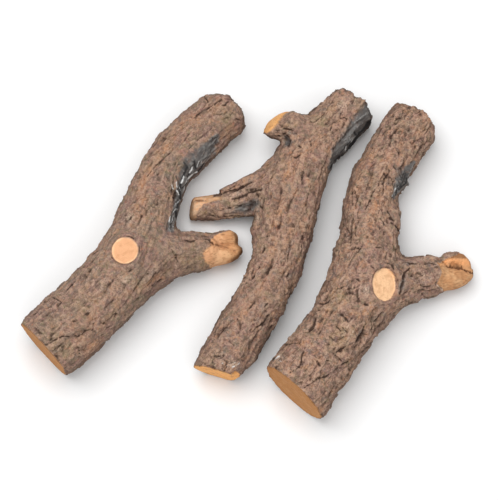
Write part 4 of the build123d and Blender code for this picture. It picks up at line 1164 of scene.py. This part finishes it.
    # the flat seat: nothing under the surface that the logs lie on
    floor_zone = ramp(3.0, 0.6, verts[:, 2])
    place[:, 2] = np.where(place[:, 2] < 0.0, 0.0, place[:, 2])
    place[:, 2] = np.where((verts[:, 2] < 0.35), 0.0, place[:, 2])
    place[:, 2] = np.where(place[:, 2] > 86.0, 86.0 + 3.2 * np.tanh((place[:, 2] - 86.0) / 3.2), place[:, 2])

    # worn high parts, and painted shade in the low ones, from the shape itself
    level_here = bark_height
    slow = spread(level_here, edges, 10)
    mid = spread(level_here, edges, 3)
    rise = (level_here - slow) / 0.8
    high_part = ramp(0.12, 1.1, rise) * (1 - sawn)
    painted_hollow_shade = ramp(0.15, 1.3, -rise)
    edge_part = ramp(0.1, 0.8, (level_here - mid) / 0.35)

    paint = {k: np.zeros(n) for k in ("warm", "olive", "pale", "char", "mauve")}
    for kind, pu, pv, ra, rb, turn, strength in PATCHES[side]:
        c, s = math.cos(math.radians(turn)), math.sin(math.radians(turn))
        du, dv = u - pu, -(v - pv)
        a, b = (du * c + dv * s) / ra, (-du * s + dv * c) / rb
        soft = np.exp(-(a * a + b * b) * 0.8)
        soft *= 1 + 0.55 * noise(np.stack([u / 5.0, v / 5.0, np.zeros(n)], 1), 980)
        paint[kind] = np.maximum(paint[kind], strength * soft * shown)
    if side == "right":
        paint["pale"] = np.maximum(paint["pale"], 1.0 * np.exp(-((reach + 0.9) / 1.5) ** 2) * ramp(0.2, 0.5, info["branch"][5] + info["heartwood"][5] + info["bark_lobe"][5])
                                   * ramp(-0.2, 0.3, noise(px * 3.2, 984)) * shown * ramp(258.0, 262.0, v))
    for strip in SCORCH[side]:
        points = [(a, b) for a, b, _ in strip]
        steps = np.cumsum([0.0] + [math.hypot(b[0] - a[0], b[1] - a[1]) for a, b in zip(points[:-1], points[1:])])
        d, where = polyline_place(u, v, points)
        half = np.interp(where, steps / steps[-1], [c for _, _, c in strip])
        d = d / half + 0.26 * noise(np.stack([u / 4.0, v / 4.0, np.zeros(n)], 1), 981) + 0.16 * noise(px * 3.0, 983)
        soft = 1.0 if side != "centre" or strip[0][0] > 300 else 1.5
        inside = ramp(1.0 + 0.62 * soft, 1.0 - 0.62 * soft, d) * ramp(-0.45, -0.10, facing) * (0.75 if soft > 1 else 1.0)
        paint["char"] = np.maximum(paint["char"], inside)
    black = np.zeros(n)
    ash = np.zeros(n)
    for kind, points, half, strength in FLECKS[side]:
        d = polyline_distance(u, v, points)
        half = half * (0.76 if kind == "ash" else 1.0)
        mark = strength * np.exp(-(d / (half * (1 + 0.55 * noise(px * 3.4, 982)))) ** 2) * ramp(-0.5, -0.1, facing)
        if kind == "black":
            black = np.maximum(black, mark)
        else:
            ash = np.maximum(ash, mark)
    if side == "centre":
        ash = np.maximum(ash, 0.46 * flank * ramp(0.0, 0.55, streaks + 0.5 * noise(px * 3.0, 985)) * ramp(0.15, 0.45, facing))
    # the same kinds of patch where the photograph doesn't show the log
    hidden = 1 - shown
    paint["warm"] += hidden * 0.7 * ramp(0.0, 0.5, fbm(verts / 38.0, 2, 985))
    paint["olive"] += hidden * 0.6 * ramp(0.1, 0.5, fbm(verts / 33.0, 2, 986))
    paint["char"] += hidden * 0.35 * ramp(0.25, 0.6, fbm(verts / 42.0, 2, 987))

    # painted shade: sides that face away from the overhead lamps, and the rims of the broken tops, are darkened by how
    # they face
    lean = 0.975 * normals[:, 2] - 0.19 * normals[:, 1] + 0.07 * noise(verts / 16.0, 990) + 0.05 * noise(verts / 5.0, 991) - 0.24 * top
    painted_flank_shade = {"left": 0.74, "centre": 1.0, "right": 0.66}[side] * (0.26 * ramp(0.50, 0.05, lean) + 0.62 * ramp(0.33, 0.10, lean)) * (1 - sawn) * (1 - 0.75 * np.clip(paint["char"], 0, 1))
    data = {
        "side": painted_flank_shade,
        "crack": np.clip(np.maximum(crack, 0.0) + (0.36 if side == "right" else 0.34) * painted_hollow_shade, 0, 1) * (1 - 0.75 * sawn),
        "worn": np.clip(high_part * 0.8 + 0.5 * edge_part, 0, 1),
        "streak": np.clip(0.5 + 0.9 * streak, 0, 1),
        "grainy": np.clip(0.5 + 0.5 * grain, 0, 1),
        "warm": np.clip(paint["warm"], 0, 1.2),
        "olive": np.clip(paint["olive"], 0, 1),
        "pale": np.clip(paint["pale"], 0, 1),
        "mauve": np.clip(paint["mauve"], 0, 1),
        "char": np.clip(paint["char"], 0, 1.2),
        "wood": np.clip(wood, 0, 1),
        "tone": tone,
        "sawn": np.clip(sawn, 0, 1),
        "ring": ring,
        "rim": np.clip(dark_edge_and_shade, 0, 1),
        "grime": grime,
        "black": np.clip(black, 0, 1),
        "ash": np.clip(ash, 0, 1),
    }
    return place, quads, data


# ------------------------------------------------------------------- materials
def srgb(r, g, b):
    return tuple(((c / 255.0) / 12.92 if c <= 10 else (((c / 255.0) + 0.055) / 1.055) ** 2.4) for c in (r, g, b)) + (1.0,)


class Nodes:
    def __init__(self, name):
        self.mat = bpy.data.materials.new(name)
        self.mat.use_nodes = True
        self.tree = self.mat.node_tree
        self.tree.nodes.clear()
        self.out = self.tree.nodes.new("ShaderNodeOutputMaterial")
        self.bsdf = self.tree.nodes.new("ShaderNodeBsdfPrincipled")
        self.tree.links.new(self.bsdf.outputs[0], self.out.inputs[0])

    def link(self, a, b):
        self.tree.links.new(a, b)

    def put(self, socket, value):
        if isinstance(value, bpy.types.NodeSocket):
            self.link(value, socket)
        else:
            socket.default_value = value

    def attribute(self, name):
        n = self.tree.nodes.new("ShaderNodeAttribute")
        n.attribute_name = name
        return n.outputs["Fac"]

    def coords(self):
        return self.tree.nodes.new("ShaderNodeTexCoord").outputs["Object"]

    def mapping(self, vector, scale=(1, 1, 1), rotation=(0, 0, 0)):
        n = self.tree.nodes.new("ShaderNodeMapping")
        self.link(vector, n.inputs["Vector"])
        n.inputs["Scale"].default_value = scale
        n.inputs["Rotation"].default_value = rotation
        return n.outputs[0]

    def noise(self, vector, scale, detail=2.0, rough=0.5, distort=0.0):
        n = self.tree.nodes.new("ShaderNodeTexNoise")
        self.link(vector, n.inputs["Vector"])
        n.inputs["Scale"].default_value = scale
        n.inputs["Detail"].default_value = detail
        n.inputs["Roughness"].default_value = rough
        n.inputs["Distortion"].default_value = distort
        return n.outputs["Fac"]

    def ramp(self, value, low, high, to_low=0.0, to_high=1.0):
        n = self.tree.nodes.new("ShaderNodeMapRange")
        n.interpolation_type = "SMOOTHSTEP"
        self.put(n.inputs["Value"], value)
        n.inputs["From Min"].default_value = low
        n.inputs["From Max"].default_value = high
        n.inputs["To Min"].default_value = to_low
        n.inputs["To Max"].default_value = to_high
        return n.outputs[0]

    def math(self, op, a, b=0.0, clamp=False):
        n = self.tree.nodes.new("ShaderNodeMath")
        n.operation = op
        n.use_clamp = clamp
        self.put(n.inputs[0], a)
        self.put(n.inputs[1], b)
        return n.outputs[0]

    def mix(self, factor, a, b, mode="MIX"):
        n = self.tree.nodes.new("ShaderNodeMix")
        n.data_type = "RGBA"
        n.blend_type = mode
        n.clamp_factor = True
        self.put(n.inputs["Factor"], factor)
        self.put(n.inputs["A"], a)
        self.put(n.inputs["B"], b)
        return n.outputs["Result"]

    def bump(self, height, strength, distance):
        n = self.tree.nodes.new("ShaderNodeBump")
        n.inputs["Strength"].default_value = strength
        n.inputs["Distance"].default_value = distance
        self.link(height, n.inputs["Height"])
        return n.outputs[0]


def painted_refractory(name, k):
    m = Nodes(name)
    co = m.coords()
    a = {k: m.attribute(k) for k in ("side", "crack", "worn", "streak", "grainy", "warm", "olive", "pale", "mauve", "char", "wood", "tone", "sawn", "ring", "rim", "grime", "black", "ash")}
    speck = m.noise(co, 620.0, 2.0, 0.6)
    mottle = m.noise(co, 150.0, 3.0, 0.55)
    cloud = m.noise(co, 34.0, 2.0, 0.5, 0.4)
    blot = m.noise(m.mapping(co, (1, 1, 1), (0.4, 0.2, 0.7)), 75.0, 3.0, 0.6, 0.3)

    # bark: mauve-brown base coat, with tan, grey, olive and rose sponged over it
    def sponge(scale, turn, low, high, detail=3.0):
        return m.ramp(m.noise(m.mapping(co, (1, 1, 1), turn), scale, detail, 0.6, 0.35), low, high)

    base = m.mix(m.ramp(cloud, 0.35, 0.68), srgb(124, 99, 91), srgb(130, 113, 97))
    base = m.mix(m.math("MULTIPLY", m.ramp(a["mauve"], 0.0, 1.0), 0.8), base, srgb(129, 103, 100))
    base = m.mix(0.84 * (k - 0.95), base, srgb(186, 142, 116))
    tan = m.math("MULTIPLY", m.ramp(a["streak"], 0.45, 0.82), m.ramp(mottle, 0.30, 0.62, 0.30, 1.0))
    base = m.mix(m.math("MULTIPLY", tan, 0.80), base, srgb(158, 125, 101))
    base = m.mix(m.math("MULTIPLY", sponge(46.0, (0.4, 1.1, 0.2), 0.50, 0.66), 0.55), base, srgb(146, 112, 106))
    base = m.mix(m.math("MULTIPLY", sponge(70.0, (0.5, 1.3, 0.9), 0.52, 0.68), 0.60), base, srgb(122, 114, 86))
    base = m.mix(m.math("MULTIPLY", sponge(88.0, (1.5, 0.2, 0.6), 0.54, 0.70), 0.54 * k), base, srgb(172, 126, 92))
    base = m.mix(m.math("MULTIPLY", sponge(110.0, (0.9, 0.7, 1.4), 0.54, 0.68), 0.52 * k), base, srgb(112, 106, 102))
    base = m.mix(m.math("MULTIPLY", sponge(190.0, (1.7, 0.4, 0.3), 0.54, 0.66, 2.0), 0.45), base, srgb(166, 122, 112))
    base = m.mix(m.math("MULTIPLY", sponge(210.0, (0.1, 0.4, 1.3), 0.56, 0.68, 2.0), 0.45), base, srgb(116, 108, 80))
    warm = m.math("MULTIPLY", a["warm"], m.ramp(blot, 0.28, 0.60, 0.35, 1.0))
    base = m.mix(m.math("MULTIPLY", warm, 0.85, True), base, srgb(184, 132, 94))
    base = m.mix(m.math("MULTIPLY", a["olive"], m.ramp(mottle, 0.3, 0.6, 0.4, 0.95), True), base, srgb(134, 120, 86))
    rust = m.ramp(m.noise(m.mapping(co, (1, 1, 1), (1.1, 0.3, 0.2)), 130.0, 2.0, 0.5, 0.5), 0.64, 0.74)
    base = m.mix(m.math("MULTIPLY", rust, 0.55), base, srgb(170, 106, 80))
    # dry brushing on what stands out
    worn = m.math("MULTIPLY", a["worn"], m.ramp(speck, 0.30, 0.62, 0.25, 1.0))
    base = m.mix(m.math("MULTIPLY", worn, 0.62), base, srgb(182, 154, 134))
    base = m.mix(m.math("MULTIPLY", a["pale"], m.ramp(speck, 0.42, 0.62, 0.15, 1.0), True), base, srgb(224, 204, 182))
    # grain and specks
    base = m.mix(m.ramp(a["grainy"], 0.30, 0.05, 0.0, 0.6), base, srgb(92, 73, 62))
    patch = m.noise(m.mapping(co, (1, 1, 1), (0.8, 0.1, 1.2)), 250.0, 2.0, 0.55, 0.6)
    smudge = m.noise(m.mapping(co, (1, 1, 1), (0.3, 1.4, 0.5)), 165.0, 2.0, 0.5, 0.5)
    base = m.mix(m.ramp(blot, 0.47, 0.33, 0.0, 1.25 * (k - 0.85)), base, srgb(92, 74, 66))
    base = m.mix(m.ramp(blot, 0.55, 0.68, 0.0, 1.05 * (k - 0.85)), base, srgb(182, 150, 130))
    base = m.mix(m.ramp(smudge, 0.46, 0.31, 0.0, 0.46 * k), base, srgb(94, 75, 66))
    base = m.mix(m.ramp(smudge, 0.55, 0.70, 0.0, 0.40 * k), base, srgb(184, 150, 127))
    base = m.mix(m.ramp(patch, 0.46, 0.30, 0.0, 0.50 * k), base, srgb(88, 70, 61))
    base = m.mix(m.ramp(patch, 0.55, 0.70, 0.0, 0.40 * k), base, srgb(186, 153, 131))
    base = m.mix(m.math("MULTIPLY", sponge(150.0, (0.7, 1.9, 0.4), 0.56, 0.70, 2.0), 0.26 * k), base, srgb(184, 132, 98))
    base = m.mix(m.math("MULTIPLY", sponge(170.0, (2.1, 0.5, 0.8), 0.56, 0.70, 2.0), 0.30 * k), base, srgb(110, 106, 90))
    base = m.mix(m.math("MULTIPLY", sponge(130.0, (1.3, 0.9, 2.4), 0.56, 0.70, 2.0), 0.26 * k), base, srgb(118, 90, 88))
    base = m.mix(m.ramp(speck, 0.45, 0.28, 0.0, 0.58 * k), base, srgb(86, 67, 57))
    base = m.mix(m.ramp(speck, 0.58, 0.74, 0.0, 0.50), base, srgb(188, 158, 138))
    # soot
    soot = m.ramp(m.math("MULTIPLY", a["char"], m.ramp(mottle, 0.25, 0.62, 0.60, 1.0)), 0.06, 0.90, 0.0, 0.94)
    sooty = m.mix(m.ramp(a["worn"], 0.10, 0.9), srgb(86, 84, 83), srgb(124, 122, 119))
    ash = m.ramp(m.noise(m.mapping(co, (1, 1, 1), (0.2, 0.9, 0.4)), 120.0, 3.0, 0.6), 0.42, 0.66)
    sooty = m.mix(m.math("MULTIPLY", ash, 0.45), sooty, srgb(128, 128, 126))
    base = m.mix(soot, base, sooty)
    base = m.mix(m.math("MULTIPLY", m.math("MULTIPLY", a["pale"], m.ramp(a["char"], 0.3, 0.8)), 0.8, True), base, srgb(226, 226, 224))
    # dark wash in the cracks, with painted shade in the hollows of the relief, under lips and in shaded slits
    deep = m.math("MULTIPLY", a["crack"], m.ramp(mottle, 0.22, 0.55, 0.75, 1.0))
    base = m.mix(m.ramp(deep, 0.08, 0.92 - 0.16 * k, 0.0, 0.92), base, srgb(56, 41, 34))
    # painted shade on the flanks, the undersides and the rims of the broken tops
    base = m.mix(m.math("MULTIPLY", a["side"], m.ramp(mottle, 0.3, 0.65, 0.86, 0.62)), base, srgb(60, 48, 42))

    base = m.mix(m.ramp(a["black"], 0.15, 0.80, 0.0, 0.92), base, srgb(40, 39, 40))
    base = m.mix(m.ramp(a["ash"], 0.25, 0.95, 0.0, 0.86), base, srgb(236, 236, 234))

    # bare wood: sawn faces and torn tips
    wood = m.mix(m.ramp(a["tone"], -0.4, 0.0), srgb(255, 208, 162), srgb(228, 172, 130))
    wood = m.mix(m.ramp(a["tone"], 0.0, 0.5), wood, srgb(204, 152, 108))
    wood = m.mix(m.ramp(a["tone"], 0.45, 0.9), wood, srgb(236, 168, 114))
    butt_tone = m.math("MULTIPLY", m.ramp(a["sawn"], 0.3, 0.8), m.ramp(a["tone"], 0.35, 0.55))
    wood = m.mix(butt_tone, wood, srgb(185, 129, 78))
    # the bright orange of the centre's butt: partly its own colour, partly painted light on a face the lamps leave dim
    wood = m.mix(m.math("MULTIPLY", butt_tone, m.ramp(a["tone"], 0.7, 0.88)), wood, srgb(246, 180, 110))
    wood = m.mix(m.ramp(a["tone"], 0.96, 1.06), wood, srgb(229, 171, 109))
    wood = m.mix(m.math("MULTIPLY", butt_tone, m.ramp(mottle, 0.50, 0.70, 0.0, 0.26)), wood, srgb(156, 110, 68))
    wood = m.mix(m.math("MULTIPLY", butt_tone, m.ramp(mottle, 0.45, 0.30, 0.0, 0.22)), wood, srgb(208, 164, 110))
    rings = m.math("SINE", m.math("ADD", m.math("MULTIPLY", a["ring"], 3.3), m.math("MULTIPLY", cloud, 9.0)))
    wood = m.mix(m.math("MULTIPLY", m.ramp(rings, 0.2, 1.0), m.math("MULTIPLY", a["sawn"], 0.13)), wood, srgb(150, 98, 56))
    wood = m.mix(m.ramp(mottle, 0.45, 0.72, 0.0, 0.40), wood, srgb(184, 128, 84))
    wood = m.mix(m.math("MULTIPLY", m.ramp(blot, 0.55, 0.34, 0.0, 0.30), m.ramp(a["sawn"], 0.2, 0.8, 1.0, 0.35)), wood, srgb(244, 206, 160))
    wood = m.mix(m.ramp(speck, 0.60, 0.74, 0.0, 0.35), wood, srgb(160, 108, 70))
    fibre = m.noise(m.mapping(co, (0.25, 1, 1), (0.0, 0.0, 0.1)), 420.0, 2.0, 0.5)
    torn = m.math("SUBTRACT", a["wood"], a["sawn"], True)
    wood = m.mix(m.math("MULTIPLY", m.ramp(fibre, 0.52, 0.68), m.math("MULTIPLY", torn, 0.5)), wood, srgb(158, 104, 66))
    wood = m.mix(m.math("MULTIPLY", a["grime"], 0.62), wood, srgb(196, 172, 146))
    wood = m.mix(m.math("MULTIPLY", butt_tone, m.ramp(speck, 0.46, 0.30, 0.0, 0.45)), wood, srgb(146, 98, 60))
    wood = m.mix(m.math("MULTIPLY", butt_tone, m.ramp(speck, 0.54, 0.70, 0.0, 0.40)), wood, srgb(216, 168, 118))
    # dark cracks on the wood, with painted shade under the bark lip and along rounded rims; then the dark edges, partly
    # painted shade
    wood = m.mix(m.ramp(a["crack"], 0.12, 0.8, 0.0, 0.9), wood, srgb(84, 52, 34))
    wood = m.mix(m.math("MULTIPLY", a["rim"], 0.84), wood, srgb(116, 80, 53))
    colour = m.mix(m.ramp(a["wood"], 0.06, 0.94), base, wood)
    m.link(colour, m.bsdf.inputs["Base Color"])

    rough = m.ramp(speck, 0.3, 0.7, 0.86, 0.97)
    m.link(rough, m.bsdf.inputs["Roughness"])
    m.bsdf.inputs["Specular IOR Level"].default_value = 0.18
    fine = m.math("ADD", m.math("MULTIPLY", speck, 0.5), m.math("MULTIPLY", m.noise(co, 1500.0, 2.0, 0.6), 0.35))
    fine = m.math("ADD", fine, m.math("MULTIPLY", mottle, 0.8))
    m.link(m.bump(fine, 0.75, 0.0012), m.bsdf.inputs["Normal"])
    return m.mat


def bar_steel(name, colour, dark):
    m = Nodes(name)
    co = m.coords()
    scale = m.noise(co, 180.0, 4.0, 0.6, 0.3)
    spots = m.noise(co, 700.0, 2.0, 0.6)
    base = m.mix(m.ramp(scale, 0.35, 0.65), colour, dark)
    base = m.mix(m.ramp(spots, 0.62, 0.75, 0.0, 0.6), base, srgb(122, 74, 46))
    m.link(base, m.bsdf.inputs["Base Color"])
    m.bsdf.inputs["Metallic"].default_value = 0.75
    m.link(m.ramp(scale, 0.3, 0.7, 0.5, 0.75), m.bsdf.inputs["Roughness"])
    m.link(m.bump(scale, 0.3, 0.0003), m.bsdf.inputs["Normal"])
    return m.mat


def pale_floor(name):
    m = Nodes(name)
    co = m.coords()
    n = m.noise(co, 3.0, 2.0, 0.5)
    m.link(m.mix(m.ramp(n, 0.3, 0.7), (0.86, 0.86, 0.86, 1), (0.87, 0.87, 0.87, 1)), m.bsdf.inputs["Base Color"])
    m.bsdf.inputs["Roughness"].default_value = 0.9
    m.bsdf.inputs["Specular IOR Level"].default_value = 0.1
    return m.mat


# ---------------------------------------------------------------------- build
def put_mesh(name, verts, quads, data, material):
    me = bpy.data.meshes.new(name)
    co = ((verts - ORIGIN) * 0.001).astype(np.float32)
    me.vertices.add(len(co))
    me.vertices.foreach_set("co", co.ravel())
    me.loops.add(len(quads) * 4)
    me.loops.foreach_set("vertex_index", quads.astype(np.int32).ravel())
    me.polygons.add(len(quads))
    me.polygons.foreach_set("loop_start", np.arange(0, len(quads) * 4, 4, dtype=np.int32))
    me.polygons.foreach_set("use_smooth", np.ones(len(quads), bool))
    me.update(calc_edges=True)
    me.validate()
    for key, values in data.items():
        att = me.attributes.new(key, "FLOAT", "POINT")
        att.data.foreach_set("value", values.astype(np.float32))
    me.materials.append(material)
    ob = bpy.data.objects.new(name, me)
    bpy.context.scene.collection.objects.link(ob)
    return ob


for side in ("left", "centre", "right"):
    verts, quads, data = casting(side)
    log = put_mesh(f"{side}_log_bark", verts, quads, data, painted_refractory(f"painted_refractory_{side}", {"left": 1.00, "centre": 1.23, "right": 1.36}[side]))
    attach(log, f"{side}_log")
    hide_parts(f"{side}_log_casting")
    print("mesh", side, len(verts), len(quads))

rod = bar_steel("rod_steel_scale", srgb(112, 104, 98), srgb(74, 70, 68))
wire = bar_steel("wire_steel_black", srgb(84, 82, 80), srgb(58, 56, 56))
for node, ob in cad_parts.items():
    if node.endswith("_rod") or node.endswith("_wire"):
        ob.data.materials.clear()
        ob.data.materials.append(rod if node.endswith("_rod") else wire)

floor_mesh = bpy.data.meshes.new("floor")
S = 9.0
floor_mesh.from_pydata([(-S, -S, -0.0004), (S, -S, -0.0004), (S, S, -0.0004), (-S, S, -0.0004)], [], [(0, 1, 2, 3)])
floor = bpy.data.objects.new("floor", floor_mesh)
floor_mesh.materials.append(pale_floor("pale_floor"))
bpy.context.scene.collection.objects.link(floor)

# --------------------------------------------------------------- light and view
world = bpy.data.worlds.new("studio")
bpy.context.scene.world = world
world.use_nodes = True
world.node_tree.nodes["Background"].inputs["Color"].default_value = (1.0, 1.0, 1.0, 1.0)
world.node_tree.nodes["Background"].inputs["Strength"].default_value = 0.42


def area_light(name, place, aim, size, power):
    lamp = bpy.data.lights.new(name, "AREA")
    lamp.shape = "SQUARE"
    lamp.size = size
    lamp.energy = power
    ob = bpy.data.objects.new(name, lamp)
    ob.location = place
    ob.rotation_euler = (Vector(aim) - Vector(place)).to_track_quat("-Z", "Y").to_euler()
    bpy.context.scene.collection.objects.link(ob)
    return ob


area_light("key", (-0.55, 0.55, 2.40), (0, 0, 0), 2.1, 52.0)
area_light("fill", (0.8, -0.7, 2.5), (0, 0, 0), 2.6, 20.0)
area_light("front", (-0.2, -2.3, 1.3), (0, 0, 0.03), 2.4, 10.0)

cam = bpy.data.cameras.new("camera")
cam.sensor_width = 36.0
cam.lens = 36.0 / (2 * HALF)
cam.clip_start, cam.clip_end = 0.05, 50.0
camera = bpy.data.objects.new("camera", cam)
camera.location = Vector((EYE - ORIGIN) * 0.001)
camera.rotation_euler = Vector(FORWARD).to_track_quat("-Z", "Y").to_euler()
bpy.context.scene.collection.objects.link(camera)
bpy.context.scene.camera = camera
bpy.context.scene.view_settings.view_transform = "Standard"
